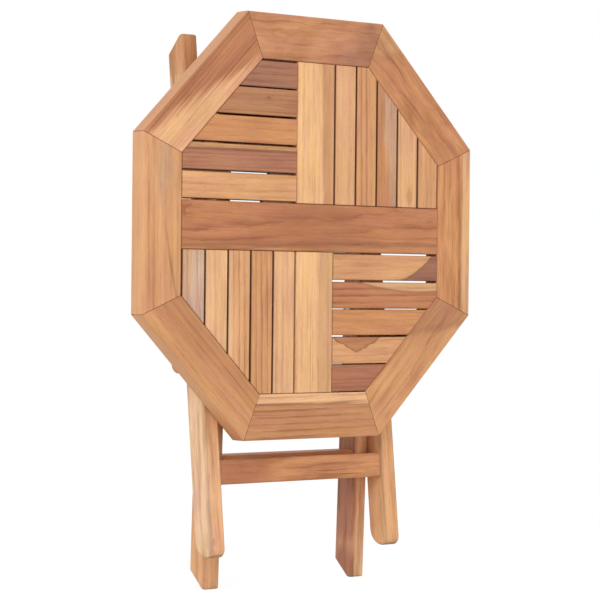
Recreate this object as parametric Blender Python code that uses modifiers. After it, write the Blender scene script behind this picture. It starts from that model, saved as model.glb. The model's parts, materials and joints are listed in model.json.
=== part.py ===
"""Folding garden table: an octagonal slatted teak top on two crossed leg frames.

Metres, +Z up. The table is folded and stands on edge, as it would lean against a wall: the
top's face looks along -Y and the leg frames lie behind it. The origin is the middle of the
top's face.

Three empties carry the moving groups. Each leg frame is drawn in its own straight coordinates,
from the pivot bolts: x runs along the legs to their heads, y to the front and z across. The
top is drawn from its hinge bolts, with x to the right, y up and z to the front.
"""

import math

import bmesh
import bpy
from mathutils import Matrix, Vector

# Clearances
SEAT = 0.0003  # between pieces that touch
MITRE_GAP = 0.00015  # on each side of a mitre
BOLT_PLAY = 0.0003  # around a bolt
FOLD_GAP = 0.0005  # between the folded frames where their rails stop them
HEAD_CLEAR = 0.0030  # between the open outer frame's heads and the top
WASHER_GAP = 0.0014  # between the members that a washer keeps apart

# Top
TOP_ACROSS = 0.500  # across the octagon's flats
BOARD_THICK = 0.0225
RIM_WIDE = 0.054
CROSS_WIDE = 0.0562  # centre plank and mullions
SLATS_A_QUARTER = 5
SLAT_GAP = 0.0023
TONGUE_LONG = 0.006
TONGUE_THICK = 0.006
TONGUE_SHOULDER = 0.0015
RIM_EASE = 0.0025
SLAT_EASE = 0.0012

# Under the top
BATTEN_WIDE = 0.050
BATTEN_DEEP = 0.022
BATTEN_HEAD_GAP = 0.013  # up to the inner frame's head rail
BATTEN_FOOT_INSET = 0.035  # from the top's lower edge
HINGE_BLOCK_THICK = 0.020
HINGE_BLOCK_BELOW = 0.020  # from the hinge bolt to the block's lower end
HINGE_BLOCK_ABOVE = 0.034
HINGE_BLOCK_BEHIND = 0.015
HINGE_BLOCK_ROUND = 0.010
CATCH_BLOCK_THICK = 0.021
CATCH_BLOCK_TALL = 0.0675
CATCH_BLOCK_INSET = 0.0121  # from the open outer legs' head ends
CATCH_BLOCK_DEEP = 0.0355
CATCH_BLOCK_ROUND = 0.013
CATCH_GAP = 0.0016  # between an outer leg and the catch block beside it

# Legs
LEG_WIDE = 0.021
LEG_DEEP = 0.031
LEG_EASE = 0.0022
INNER_FRAME_WIDE = 0.244  # across the inner legs' outer faces
FOOT_ARM = 0.3263  # from the pivot to the foot's end
FOOT_FLAT = 0.007  # square part of the foot's end
HEAD_ARM = 0.2875  # from the pivot to the outer leg's head end
HEAD_FRONT_ROUND = 0.010

# Fold
OPEN_TILT = math.radians(39.5)  # a leg's tilt from upright when the table is open
INNER_LEAN = math.radians(2.0)  # the folded inner frame's lean from the top
OUTER_LEAN = math.radians(6.3)
PIVOT_HEIGHT = -0.100
EDGE_CLEAR = 0.0005  # between the folded outer legs and the back of the top's lower edge

# Rails
RAIL_TALL = 0.029
RAIL_DEEP = 0.022
RAIL_EASE = 0.0015
OUTER_HEAD_RAIL_INSET = 0.0984  # from the legs' head ends to the rail's middle
OUTER_FOOT_RAIL_INSET = 0.1357
INNER_HEAD_RAIL_INSET = 0.0388  # from the hinge bolts to the rail's middle
INNER_FOOT_RAIL_INSET = 0.1426
INNER_FOOT_RAIL_RECESS = 0.0015  # behind the inner legs' fronts
TENON_TALL = 0.017
TENON_THICK = 0.009
TENON_LONG = 0.011

# Bolts
BOLT_RADIUS = 0.003
BOLT_HEAD_RADIUS = 0.007
BOLT_HEAD_THICK = 0.003
BOLT_HEAD_CROWN = 0.0008
BOLT_HEAD_SUNK = 0.0004  # below the wood's face
BOLT_PAST_NUT = 0.0015
NUT_RADIUS = 0.0058  # to the corners of its hexagon
NUT_THICK = 0.005
WASHER_RADIUS = 0.008
ROUND_STEPS = 24

# Worked out from the sizes above
INNER_RADIUS = TOP_ACROSS / 2 - RIM_WIDE
HALF_CROSS = CROSS_WIDE / 2
HALF_DEEP = LEG_DEEP / 2
OCTAGON_TURN = math.radians(45)
SLAT_WIDE = (INNER_RADIUS - HALF_CROSS - (SLATS_A_QUARTER + 1) * SLAT_GAP) / SLATS_A_QUARTER
GROOVE_DEEP = TONGUE_LONG + SEAT
GROOVE_THICK = TONGUE_THICK + 2 * SEAT
HEAD_BACK_ROUND = LEG_DEEP - HEAD_FRONT_ROUND
WASHER_THICK = WASHER_GAP - 2 * SEAT

# Places across the table
INNER_LEG_OUTSIDE = INNER_FRAME_WIDE / 2
INNER_LEG_INSIDE = INNER_LEG_OUTSIDE - LEG_WIDE
OUTER_LEG_INSIDE = INNER_LEG_OUTSIDE + WASHER_GAP
OUTER_LEG_OUTSIDE = OUTER_LEG_INSIDE + LEG_WIDE
HINGE_BLOCK_OUTSIDE = INNER_LEG_INSIDE - WASHER_GAP
HINGE_BLOCK_INSIDE = HINGE_BLOCK_OUTSIDE - HINGE_BLOCK_THICK
CATCH_BLOCK_INSIDE = OUTER_LEG_OUTSIDE + CATCH_GAP

# The folded outer legs lean towards the top, and their fronts clear its slanting lower edge.
# That sets how far behind the top's face the pivot lies.
EDGE_HEIGHT = OUTER_LEG_INSIDE - TOP_ACROSS / 2 * math.sqrt(2)
PIVOT_BEHIND = (BOARD_THICK + EDGE_CLEAR + HALF_DEEP / math.cos(OUTER_LEAN)
                + (PIVOT_HEIGHT - EDGE_HEIGHT) * math.tan(OUTER_LEAN))

# The open table stands level when the outer heads, HEAD_CLEAR below the top, and the hinge
# bolts are at their heights above the pivot. That gives the hinge bolts' arm.
HEAD_RISE = ((HEAD_ARM - HEAD_FRONT_ROUND) * math.cos(OPEN_TILT)
             + (HALF_DEEP - HEAD_FRONT_ROUND) * math.sin(OPEN_TILT) + HEAD_FRONT_ROUND)
HINGE_ARM = ((HEAD_RISE + HEAD_CLEAR - (PIVOT_BEHIND - BOARD_THICK))
             / (math.cos(OPEN_TILT) - math.sin(INNER_LEAN)))
HINGE_HEIGHT = PIVOT_HEIGHT + HINGE_ARM * math.cos(INNER_LEAN)
HINGE_BEHIND = PIVOT_BEHIND - HINGE_ARM * math.sin(INNER_LEAN)
OPEN_HEAD_HEIGHT = HINGE_HEIGHT - (HINGE_ARM + HEAD_ARM) * math.sin(OPEN_TILT)

# Rails' middles along the legs, from the pivot towards the heads
OUTER_HEAD_RAIL = HEAD_ARM - OUTER_HEAD_RAIL_INSET
OUTER_FOOT_RAIL = OUTER_FOOT_RAIL_INSET - FOOT_ARM
INNER_HEAD_RAIL = HINGE_ARM - INNER_HEAD_RAIL_INSET
INNER_FOOT_RAIL = INNER_FOOT_RAIL_INSET - FOOT_ARM

SIDES = {"left": -1, "right": 1}
RIM_NAMES = ("top", "top_right", "right", "bottom_right",
             "bottom", "bottom_left", "left", "top_left")
QUARTER_NAMES = ("upper_right", "upper_left", "lower_left", "lower_right")

# Colours in linear light, with roughness and metallic value
GOLDEN = ((0.52, 0.30, 0.13), 0.55, 0.0)
TAN = ((0.44, 0.22, 0.10), 0.55, 0.0)
ORANGE = ((0.38, 0.17, 0.07), 0.55, 0.0)
BROWN = ((0.25, 0.12, 0.06), 0.55, 0.0)
MAUVE = ((0.24, 0.13, 0.09), 0.55, 0.0)
ZINC = ((0.55, 0.55, 0.53), 0.35, 1.0)
RIM_FINISHES = (ORANGE, ORANGE, TAN, TAN, TAN, ORANGE, TAN, BROWN)
SLAT_FINISHES = {
    "upper_right": (TAN, TAN, BROWN, TAN, ORANGE),
    "upper_left": (GOLDEN, MAUVE, ORANGE, BROWN, MAUVE),
    "lower_left": (MAUVE, GOLDEN, TAN, MAUVE, GOLDEN),
    "lower_right": (TAN, BROWN, ORANGE, GOLDEN, MAUVE),
}


def start_scene():
    """Empties the scene and returns the model's collection and the cutters' collection."""
    for old in list(bpy.data.objects):
        bpy.data.objects.remove(old, do_unlink=True)
    collections = []
    for name in ("folding_table", "cutters"):
        collection = bpy.data.collections.new(name)
        bpy.context.scene.collection.children.link(collection)
        collections.append(collection)
    return collections


MODEL, CUTTERS = start_scene()


def add_group(name, matrix):
    """An empty on a joint's axis, which a moving group hangs on."""
    group = bpy.data.objects.new(name, None)
    group.matrix_world = matrix
    group.empty_display_size = 0.05
    MODEL.objects.link(group)
    return group


def add_object(name, mesh, group, matrix, collection=None):
    """Links a mesh as an object under its group."""
    piece = bpy.data.objects.new(name, mesh)
    (collection or MODEL).objects.link(piece)
    piece.parent = group
    piece.matrix_local = matrix
    return piece


def paint(piece, finish):
    """Gives a piece a material of its own."""
    colour, roughness, metallic = finish
    material = bpy.data.materials.new(piece.name)
    material.use_nodes = True
    shader = material.node_tree.nodes["Principled BSDF"]
    shader.inputs["Base Color"].default_value = (*colour, 1.0)
    shader.inputs["Roughness"].default_value = roughness
    shader.inputs["Metallic"].default_value = metallic
    piece.data.materials.append(material)


def ease(piece, width, only_along=None):
    """Rounds a piece's sharp edges, or only those that run along one of its axes."""
    bevel = piece.modifiers.new("eased_edges", "BEVEL")
    bevel.width = width
    bevel.segments = 2
    if only_along is None:
        bevel.limit_method = "ANGLE"
        bevel.angle_limit = math.radians(30)
        return
    bevel.limit_method = "WEIGHT"
    weights = piece.data.attributes.new("bevel_weight_edge", "FLOAT", "EDGE")
    for edge in piece.data.edges:
        first, second = (piece.data.vertices[index].co for index in edge.vertices)
        along = (second - first).normalized()[only_along]
        weights.data[edge.index].value = 1.0 if abs(along) > 0.999 else 0.0


def combine(piece, other, operation):
    """Cuts another object out of a piece, or joins it on."""
    boolean = piece.modifiers.new(other.name, "BOOLEAN")
    boolean.operation = operation
    boolean.object = other
    boolean.solver = "EXACT"
    other.hide_render = True
    other.display_type = "WIRE"


def shade_round(piece):
    """Shades a turned piece smooth, with its corners kept sharp."""
    piece.data.shade_smooth()
    piece.data.set_sharp_from_angle(angle=math.radians(35))


def slab_mesh(name, outline, thickness):
    """A flat outline in x and y, as thick as given, with its middle at z = 0."""
    curve = bpy.data.curves.new(name, "CURVE")
    curve.dimensions = "2D"
    curve.fill_mode = "BOTH"
    curve.extrude = thickness / 2
    spline = curve.splines.new("POLY")
    spline.points.add(len(outline) - 1)
    for point, (x, y) in zip(spline.points, outline):
        point.co = (x, y, 0.0, 1.0)
    spline.use_cyclic_u = True
    holder = bpy.data.objects.new(name, curve)
    CUTTERS.objects.link(holder)
    bpy.context.view_layer.update()
    evaluated = holder.evaluated_get(bpy.context.evaluated_depsgraph_get())
    mesh = bpy.data.meshes.new_from_object(evaluated)
    bpy.data.objects.remove(holder, do_unlink=True)
    bpy.data.curves.remove(curve)
    body = bmesh.new()
    body.from_mesh(mesh)
    bmesh.ops.remove_doubles(body, verts=body.verts, dist=1e-6)
    bmesh.ops.dissolve_limit(body, angle_limit=math.radians(0.1), verts=body.verts, edges=body.edges)
    bmesh.ops.recalc_face_normals(body, faces=body.faces)
    body.to_mesh(mesh)
    body.free()
    mesh.name = name
    return mesh


def box_mesh(name, size):
    """A box of the given size about its middle."""
    mesh = bpy.data.meshes.new(name)
    body = bmesh.new()
    bmesh.ops.create_cube(body, size=1.0, matrix=Matrix.Diagonal((*size, 1.0)))
    body.to_mesh(mesh)
    body.free()
    return mesh


def cylinder_mesh(name, radius, low, high, sides=ROUND_STEPS):
    """A cylinder along z between two heights."""
    mesh = bpy.data.meshes.new(name)
    body = bmesh.new()
    matrix = Matrix.Translation((0.0, 0.0, (low + high) / 2))
    bmesh.ops.create_cone(body, cap_ends=True, segments=sides, radius1=radius,
                          radius2=radius, depth=high - low, matrix=matrix)
    body.to_mesh(mesh)
    body.free()
    return mesh


def turned_object(name, profile, closed, group, matrix):
    """A profile of (radius, height) points turned about z."""
    mesh = bpy.data.meshes.new(name)
    body = bmesh.new()
    corners = [body.verts.new((radius, 0.0, height)) for radius, height in profile]
    for first, second in zip(corners, corners[1:]):
        body.edges.new((first, second))
    if closed:
        body.edges.new((corners[-1], corners[0]))
    body.to_mesh(mesh)
    body.free()
    piece = add_object(name, mesh, group, matrix)
    screw = piece.modifiers.new("turned", "SCREW")
    screw.axis = "Z"
    screw.steps = ROUND_STEPS
    screw.render_steps = ROUND_STEPS
    screw.use_merge_vertices = True
    screw.merge_threshold = 0.00001
    screw.use_smooth_shade = True
    return piece


def rounded_outline(corners, arc_steps=6):
    """Turns (x, y, radius) corners, listed anticlockwise, into an outline with arcs."""
    outline = []
    count = len(corners)
    for index, (x, y, radius) in enumerate(corners):
        corner = Vector((x, y))
        if radius <= 0:
            outline.append((x, y))
            continue
        before = (Vector(corners[index - 1][:2]) - corner).normalized()
        after = (Vector(corners[(index + 1) % count][:2]) - corner).normalized()
        half_angle = before.angle(after) / 2
        middle = corner + (before + after).normalized() * (radius / math.sin(half_angle))
        start = corner + before * (radius / math.tan(half_angle)) - middle
        sweep = math.pi - 2 * half_angle
        for step in range(arc_steps + 1):
            turn = Matrix.Rotation(sweep * step / arc_steps, 2)
            point = middle + turn @ start
            outline.append((point.x, point.y))
    return drop_repeats(outline)


def drop_repeats(outline):
    """Leaves out points that lie on the one before."""
    kept = []
    for point in outline:
        if not kept or math.dist(point, kept[-1]) > 1e-5:
            kept.append(point)
    if math.dist(kept[0], kept[-1]) <= 1e-5:
        kept.pop()
    return kept


def clip_outline(outline, direction, limit):
    """Keeps the part of an outline whose distance along a direction is within a limit."""
    clipped = []
    for (first_x, first_y), (next_x, next_y) in zip(outline, outline[1:] + outline[:1]):
        first = direction.x * first_x + direction.y * first_y - limit
        second = direction.x * next_x + direction.y * next_y - limit
        if first <= 0:
            clipped.append((first_x, first_y))
        if first * second < 0:
            share = first / (first - second)
            clipped.append((first_x + share * (next_x - first_x),
                            first_y + share * (next_y - first_y)))
    return drop_repeats(clipped)


def clip_to_octagon(outline, flat_radius):
    """Cuts an outline in the upper right quarter to an octagon about the top's centre."""
    for turn in range(3):
        angle = turn * OCTAGON_TURN
        outline = clip_outline(outline, Vector((math.cos(angle), math.sin(angle))), flat_radius)
    return outline


def spin(turns):
    """A turn about the top's centre, in eighths, anticlockwise from the front."""
    return Matrix.Rotation(turns * OCTAGON_TURN, 4, "Z")


def leg_frame_matrix(lean, heads_up):
    """Places a leg frame's own coordinates at the pivot, with its heads up or down."""
    upward = 1 if heads_up else -1
    along = Vector((0.0, -math.sin(lean), upward * math.cos(lean)))
    front = Vector((0.0, -math.cos(lean), -upward * math.sin(lean)))
    across = along.cross(front)
    turn = Matrix((along, front, across)).transposed().to_4x4()
    return Matrix.Translation((0.0, PIVOT_BEHIND, PIVOT_HEIGHT)) @ turn


INNER_FRAME = add_group("inner_frame", leg_frame_matrix(INNER_LEAN, heads_up=True))
OUTER_FRAME = add_group("outer_frame", leg_frame_matrix(OUTER_LEAN, heads_up=False))
TOP = add_group("tabletop", Matrix.Translation((0.0, HINGE_BEHIND, HINGE_HEIGHT))
                @ Matrix.Rotation(math.radians(90), 4, "X"))

# The boards' mid plane and the blocks' coordinates, in the top's own axes
BOARD_PLANE = Matrix.Translation((0.0, -HINGE_HEIGHT, HINGE_BEHIND - BOARD_THICK / 2))
UNDERSIDE = HINGE_BEHIND - BOARD_THICK - SEAT
SIDE_VIEW = Matrix(((0, 0, 1, 0), (1, 0, 0, 0), (0, 1, 0, 0), (0, 0, 0, 1)))


def make_board(name, outline, turn, finish):
    """A board of the top's full thickness, turned about the top's centre."""
    mesh = slab_mesh(name, outline, BOARD_THICK)
    board = add_object(name, mesh, TOP, BOARD_PLANE @ turn)
    paint(board, finish)
    return board


def add_tongue(board, outline, turn):
    """Joins a tongue, drawn past the board's ends, into the board's mid thickness."""
    mesh = slab_mesh(board.name + "_tongue", outline, TONGUE_THICK)
    tongue = add_object(mesh.name, mesh, TOP, BOARD_PLANE @ turn, CUTTERS)
    combine(board, tongue, "UNION")


def cut_groove(board, low, high, edge, side, turn):
    """Ploughs a groove into the board edge at y = edge, between two x values."""
    middle = Matrix.Translation(((low + high) / 2, edge, 0.0))
    mesh = box_mesh(f"{board.name}_groove_{side}", (high - low, 2 * GROOVE_DEEP, GROOVE_THICK))
    groove = add_object(mesh.name, mesh, TOP, BOARD_PLANE @ turn @ middle, CUTTERS)
    combine(board, groove, "DIFFERENCE")


def make_rims():
    """Eight mitred boards round the top, grooved on the inside."""
    slope = math.tan(OCTAGON_TURN / 2)
    gap = MITRE_GAP / math.cos(OCTAGON_TURN / 2)
    outer = TOP_ACROSS / 2
    half_outer = outer * slope - gap
    half_inner = INNER_RADIUS * slope - gap
    outline = [(-half_inner, INNER_RADIUS), (half_inner, INNER_RADIUS),
               (half_outer, outer), (-half_outer, outer)]
    for index, rim_name in enumerate(RIM_NAMES):
        turn = spin(-index)
        rim = make_board("rim_" + rim_name, outline, turn, RIM_FINISHES[index])
        ease(rim, RIM_EASE, only_along=0)
        cut_groove(rim, -half_outer - SEAT, half_outer + SEAT, INNER_RADIUS, "inner", turn)


def slat_start(number):
    """Where a slat begins, counted from the middle of the top."""
    return HALF_CROSS + SLAT_GAP + (number - 1) * (SLAT_WIDE + SLAT_GAP)


def make_slats():
    """Four quarters of slats. Each quarter is the upper right one turned by a right angle."""
    for quarter, quarter_name in enumerate(QUARTER_NAMES):
        turn = spin(2 * quarter)
        finishes = SLAT_FINISHES[quarter_name]
        for number in range(1, SLATS_A_QUARTER + 1):
            low = slat_start(number)
            high = low + SLAT_WIDE
            name = f"slat_{quarter_name}_{number}"
            finish = finishes[(number - 1) % len(finishes)]
            slat = make_board(name, slat_outline(low, high, SEAT), turn, finish)
            ease(slat, SLAT_EASE)
            tongue = slat_outline(low + TONGUE_SHOULDER, high - TONGUE_SHOULDER, -TONGUE_LONG)
            add_tongue(slat, tongue, turn)


def slat_outline(low, high, inset):
    """A slat between two x values, inset from the plank and the rims that it ends on."""
    strip = [(low, HALF_CROSS + inset), (high, HALF_CROSS + inset),
             (high, TOP_ACROSS), (low, TOP_ACROSS)]
    return clip_to_octagon(strip, INNER_RADIUS - inset)


def slat_groove_span():
    """First and last x of the groove that a quarter's slats sit in."""
    low = slat_start(1) + TONGUE_SHOULDER - SEAT
    high = slat_start(SLATS_A_QUARTER) + SLAT_WIDE - TONGUE_SHOULDER + SEAT
    return low, high


def bar_outline(half_wide, low, high):
    """A rectangle about the y axis."""
    return [(-half_wide, low), (half_wide, low), (half_wide, high), (-half_wide, high)]


def make_cross_boards():
    """The centre plank and the two mullions that stand on it."""
    half_long = INNER_RADIUS - SEAT
    tongue_half = HALF_CROSS - TONGUE_SHOULDER
    groove_low, groove_high = slat_groove_span()
    lying = spin(2)
    plank = make_board("centre_plank", bar_outline(HALF_CROSS, -half_long, half_long), lying, BROWN)
    ease(plank, SLAT_EASE)
    reach = INNER_RADIUS + TONGUE_LONG
    add_tongue(plank, bar_outline(tongue_half, -reach, reach), lying)
    for place, turn, finish in (("upper", spin(0), TAN), ("lower", spin(4), GOLDEN)):
        mullion = make_board(place + "_mullion",
                             bar_outline(HALF_CROSS, HALF_CROSS + SEAT, half_long), turn, finish)
        ease(mullion, SLAT_EASE)
        add_tongue(mullion, bar_outline(tongue_half, HALF_CROSS - TONGUE_LONG, reach), turn)
        cut_groove(mullion, groove_low, groove_high, HALF_CROSS, "slats", turn @ spin(2))
        cut_groove(plank, groove_low, groove_high, HALF_CROSS, place + "_slats", turn)
        cut_groove(plank, -tongue_half - SEAT, tongue_half + SEAT, HALF_CROSS, place + "_mullion", turn)


def make_batten():
    """The stiffening batten under the middle of the top."""
    rail_low = PIVOT_HEIGHT + (INNER_HEAD_RAIL - RAIL_TALL / 2) * math.cos(INNER_LEAN)
    high = rail_low - BATTEN_HEAD_GAP
    low = BATTEN_FOOT_INSET - TOP_ACROSS / 2
    size = (BATTEN_WIDE, high - low, BATTEN_DEEP)
    middle = (0.0, (high + low) / 2 - HINGE_HEIGHT, UNDERSIDE - BATTEN_DEEP / 2)
    batten = add_object("centre_batten", box_mesh("centre_batten", size), TOP,
                        Matrix.Translation(middle))
    paint(batten, ORANGE)
    ease(batten, RAIL_EASE)


def make_hinge_blocks():
    """Blocks under the top that the hinge bolts pass through, seen from the side as y and z."""
    back = -HINGE_BLOCK_BEHIND
    corners = [(-HINGE_BLOCK_BELOW, back, HINGE_BLOCK_ROUND), (HINGE_BLOCK_ABOVE, back, HINGE_BLOCK_ROUND),
               (HINGE_BLOCK_ABOVE, UNDERSIDE, 0.0), (-HINGE_BLOCK_BELOW, UNDERSIDE, 0.0)]
    outline = rounded_outline(corners)
    for side_name, side in SIDES.items():
        middle = side * (HINGE_BLOCK_OUTSIDE - HINGE_BLOCK_THICK / 2)
        matrix = Matrix.Translation((middle, 0.0, 0.0)) @ SIDE_VIEW
        name = "hinge_block_" + side_name
        block = add_object(name, slab_mesh(name, outline, HINGE_BLOCK_THICK), TOP, matrix)
        paint(block, ORANGE)
        ease(block, SLAT_EASE)
        bore(block, BOLT_RADIUS + BOLT_PLAY, -HINGE_BLOCK_THICK, HINGE_BLOCK_THICK, TOP, matrix, "bolt")


def make_catch_blocks():
    """Cheeks under the top, outboard of the outer legs' heads, seen from the side as y and z."""
    back = UNDERSIDE - CATCH_BLOCK_DEEP
    low = OPEN_HEAD_HEIGHT + CATCH_BLOCK_INSET - HINGE_HEIGHT
    high = low + CATCH_BLOCK_TALL
    corners = [(low, back, CATCH_BLOCK_ROUND), (high, back, CATCH_BLOCK_ROUND),
               (high, UNDERSIDE, 0.0), (low, UNDERSIDE, 0.0)]
    outline = rounded_outline(corners)
    for side_name, side in SIDES.items():
        middle = side * (CATCH_BLOCK_INSIDE + CATCH_BLOCK_THICK / 2)
        name = "catch_block_" + side_name
        block = add_object(name, slab_mesh(name, outline, CATCH_BLOCK_THICK), TOP,
                           Matrix.Translation((middle, 0.0, 0.0)) @ SIDE_VIEW)
        paint(block, ORANGE)
        ease(block, SLAT_EASE)


def bore(piece, radius, low, high, group, matrix, label):
    """Drills a round hole along the piece's own z, between two heights."""
    mesh = cylinder_mesh(f"{piece.name}_{label}", radius, low, high)
    combine(piece, add_object(mesh.name, mesh, group, matrix, CUTTERS), "DIFFERENCE")


def foot_corners():
    """The foot's end: a square part in front, then the cut that lies on the ground."""
    cut_rise = (LEG_DEEP - FOOT_FLAT) * math.tan(OPEN_TILT)
    return [(-FOOT_ARM, HALF_DEEP, 0.0), (-FOOT_ARM, HALF_DEEP - FOOT_FLAT, 0.0),
            (-FOOT_ARM + cut_rise, -HALF_DEEP, 0.0)]


def make_leg(name, head_corners, group, middle, finish):
    """A leg in its frame's coordinates, at a place across the table."""
    outline = rounded_outline(foot_corners() + head_corners)
    leg = add_object(name, slab_mesh(name, outline, LEG_WIDE), group,
                     Matrix.Translation((0.0, 0.0, middle)))
    paint(leg, finish)
    ease(leg, LEG_EASE)
    return leg


def drill_leg(leg, along, outward, group, sunk_head):
    """Drills a bolt hole through a leg, with a counterbore where the bolt's head is sunk."""
    middle = leg.location.z
    place = Matrix.Translation((along, 0.0, middle))
    label = f"bolt_{round(along * 1000)}"
    bore(leg, BOLT_RADIUS + BOLT_PLAY, -LEG_WIDE, LEG_WIDE, group, place, label)
    if sunk_head:
        face = LEG_WIDE / 2
        floor = face - BOLT_HEAD_SUNK - BOLT_HEAD_THICK - SEAT
        low, high = sorted((outward * floor, outward * (face + LEG_EASE)))
        bore(leg, BOLT_HEAD_RADIUS + BOLT_PLAY, low, high, group, place, label + "_head")


def cut_mortise(leg, along, front, inward, group):
    """Cuts the blind hole for a rail's tenon into the leg's inner face."""
    size = (TENON_TALL + 2 * SEAT, TENON_THICK + 2 * SEAT, 2 * (TENON_LONG + SEAT))
    middle = (along, front, leg.location.z + inward * LEG_WIDE / 2)
    mesh = box_mesh(f"{leg.name}_mortise_{round(along * 1000)}", size)
    mortise = add_object(mesh.name, mesh, group, Matrix.Translation(middle), CUTTERS)
    combine(leg, mortise, "DIFFERENCE")


def make_rail(name, along, front, between, group, finish):
    """A rail between two legs, whose inner faces are so far apart, with a tenon at each end."""
    size = (RAIL_TALL, RAIL_DEEP, between - 2 * SEAT)
    place = Matrix.Translation((along, front, 0.0))
    rail = add_object(name, box_mesh(name, size), group, place)
    paint(rail, finish)
    ease(rail, RAIL_EASE)
    tenon_size = (TENON_TALL, TENON_THICK, between + 2 * TENON_LONG)
    mesh = box_mesh(name + "_tenons", tenon_size)
    combine(rail, add_object(mesh.name, mesh, group, place, CUTTERS), "UNION")


def rail_stop(along):
    """How far in front of the outer frame's mid plane, or behind it, the inner legs leave a rail.

    The folded frames lean apart from the pivot, so the rail's edge nearer the pivot counts.
    """
    spread = INNER_LEAN + OUTER_LEAN
    near = abs(along) - RAIL_TALL / 2
    return near * math.tan(spread) - HALF_DEEP / math.cos(spread) - FOLD_GAP


def inner_rails():
    """Place along the legs and to the front of each inner rail's middle."""
    foot_front = HALF_DEEP - INNER_FOOT_RAIL_RECESS - RAIL_DEEP / 2
    return {"head": (INNER_HEAD_RAIL, 0.0), "foot": (INNER_FOOT_RAIL, foot_front)}


def outer_rails():
    """Place along the legs and to the front of each outer rail's middle."""
    head_front = RAIL_DEEP / 2 - rail_stop(OUTER_HEAD_RAIL)
    foot_front = rail_stop(OUTER_FOOT_RAIL) - RAIL_DEEP / 2
    return {"head": (OUTER_HEAD_RAIL, head_front), "foot": (OUTER_FOOT_RAIL, foot_front)}


def make_inner_frame():
    """Two legs with round heads on the hinge bolts, and their rails."""
    head_end = HINGE_ARM + HALF_DEEP
    head = [(head_end, -HALF_DEEP, HALF_DEEP), (head_end, HALF_DEEP, HALF_DEEP)]
    middle = INNER_LEG_OUTSIDE - LEG_WIDE / 2
    rails = inner_rails()
    for side_name, side in SIDES.items():
        leg = make_leg("inner_leg_" + side_name, head, INNER_FRAME, side * middle, TAN)
        drill_leg(leg, 0.0, side, INNER_FRAME, sunk_head=False)
        drill_leg(leg, HINGE_ARM, side, INNER_FRAME, sunk_head=True)
        for along, front in rails.values():
            cut_mortise(leg, along, front, -side, INNER_FRAME)
    for rail_name, (along, front) in rails.items():
        make_rail(f"inner_{rail_name}_rail", along, front, 2 * INNER_LEG_INSIDE, INNER_FRAME, TAN)


def make_outer_frame():
    """Two legs that straddle the inner ones, with free heads, and their rails.

    This frame's z runs the other way across the table, because its heads point down.
    """
    head = [(HEAD_ARM, -HALF_DEEP, HEAD_BACK_ROUND), (HEAD_ARM, HALF_DEEP, HEAD_FRONT_ROUND)]
    middle = OUTER_LEG_OUTSIDE - LEG_WIDE / 2
    rails = outer_rails()
    for side_name, side in SIDES.items():
        leg = make_leg("outer_leg_" + side_name, head, OUTER_FRAME, -side * middle, TAN)
        drill_leg(leg, 0.0, -side, OUTER_FRAME, sunk_head=True)
        for along, front in rails.values():
            cut_mortise(leg, along, front, side, OUTER_FRAME)
    for rail_name, (along, front) in rails.items():
        make_rail(f"outer_{rail_name}_rail", along, front, 2 * OUTER_LEG_INSIDE, OUTER_FRAME, ORANGE)


def make_bolt_set(label, side_name, along, head_face, nut_face, washer_face):
    """A bolt with its head sunk in a leg's outer face, its nut, and the washer between members.

    The faces are distances from the table's middle: the wood's face over the bolt's head, the
    face that the nut sits on, and the outer face of the member inside the washer.
    """
    side = SIDES[side_name]
    turn = Matrix.Rotation(math.radians(90 - 90 * side), 4, "X")
    place = Matrix.Translation((along, 0.0, 0.0)) @ turn
    crown = head_face - BOLT_HEAD_SUNK
    neck = crown - BOLT_HEAD_THICK
    nut_low = nut_face - SEAT - NUT_THICK
    tip = nut_low - BOLT_PAST_NUT
    profile = [(0.0, crown), (BOLT_HEAD_RADIUS * 0.6, crown - BOLT_HEAD_CROWN * 0.3),
               (BOLT_HEAD_RADIUS, crown - BOLT_HEAD_CROWN), (BOLT_HEAD_RADIUS, neck),
               (BOLT_RADIUS, neck), (BOLT_RADIUS, tip + BOLT_HEAD_CROWN),
               (BOLT_RADIUS - BOLT_HEAD_CROWN, tip), (0.0, tip)]
    bolt = turned_object(f"{label}_bolt_{side_name}", profile, False, INNER_FRAME, place)
    paint(bolt, ZINC)
    nut_name = f"{label}_nut_{side_name}"
    nut = add_object(nut_name, cylinder_mesh(nut_name, NUT_RADIUS, nut_low, nut_low + NUT_THICK, 6),
                     INNER_FRAME, place)
    paint(nut, ZINC)
    shade_round(nut)
    bore(nut, BOLT_RADIUS + BOLT_PLAY, nut_low - NUT_THICK, nut_face, INNER_FRAME, place, "bolt")
    low = washer_face + SEAT
    high = low + WASHER_THICK
    hole = BOLT_RADIUS + BOLT_PLAY
    ring = [(WASHER_RADIUS, high), (WASHER_RADIUS, low), (hole, low), (hole, high)]
    washer = turned_object(f"{label}_washer_{side_name}", ring, True, INNER_FRAME, place)
    paint(washer, ZINC)


def make_fittings():
    """The scissor pivots and the hinges that the top turns on."""
    for side_name in SIDES:
        make_bolt_set("pivot", side_name, 0.0, OUTER_LEG_OUTSIDE, INNER_LEG_INSIDE, INNER_LEG_OUTSIDE)
        make_bolt_set("hinge", side_name, HINGE_ARM, INNER_LEG_OUTSIDE, HINGE_BLOCK_INSIDE,
                      HINGE_BLOCK_OUTSIDE)


def main():
    """Builds the table, piece by piece."""
    make_rims()
    make_cross_boards()
    make_slats()
    make_batten()
    make_hinge_blocks()
    make_catch_blocks()
    make_inner_frame()
    make_outer_frame()
    make_fittings()
    top_travel = math.pi / 2 - OPEN_TILT - INNER_LEAN
    frame_travel = math.pi - OUTER_LEAN - INNER_LEAN - 2 * OPEN_TILT
    print("pivot at", PIVOT_BEHIND, PIVOT_HEIGHT, "hinge at", HINGE_BEHIND, HINGE_HEIGHT)
    print("legs travel", math.degrees(frame_travel), "top travels", math.degrees(top_travel),
          "ratio", top_travel / frame_travel)


main()
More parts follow.
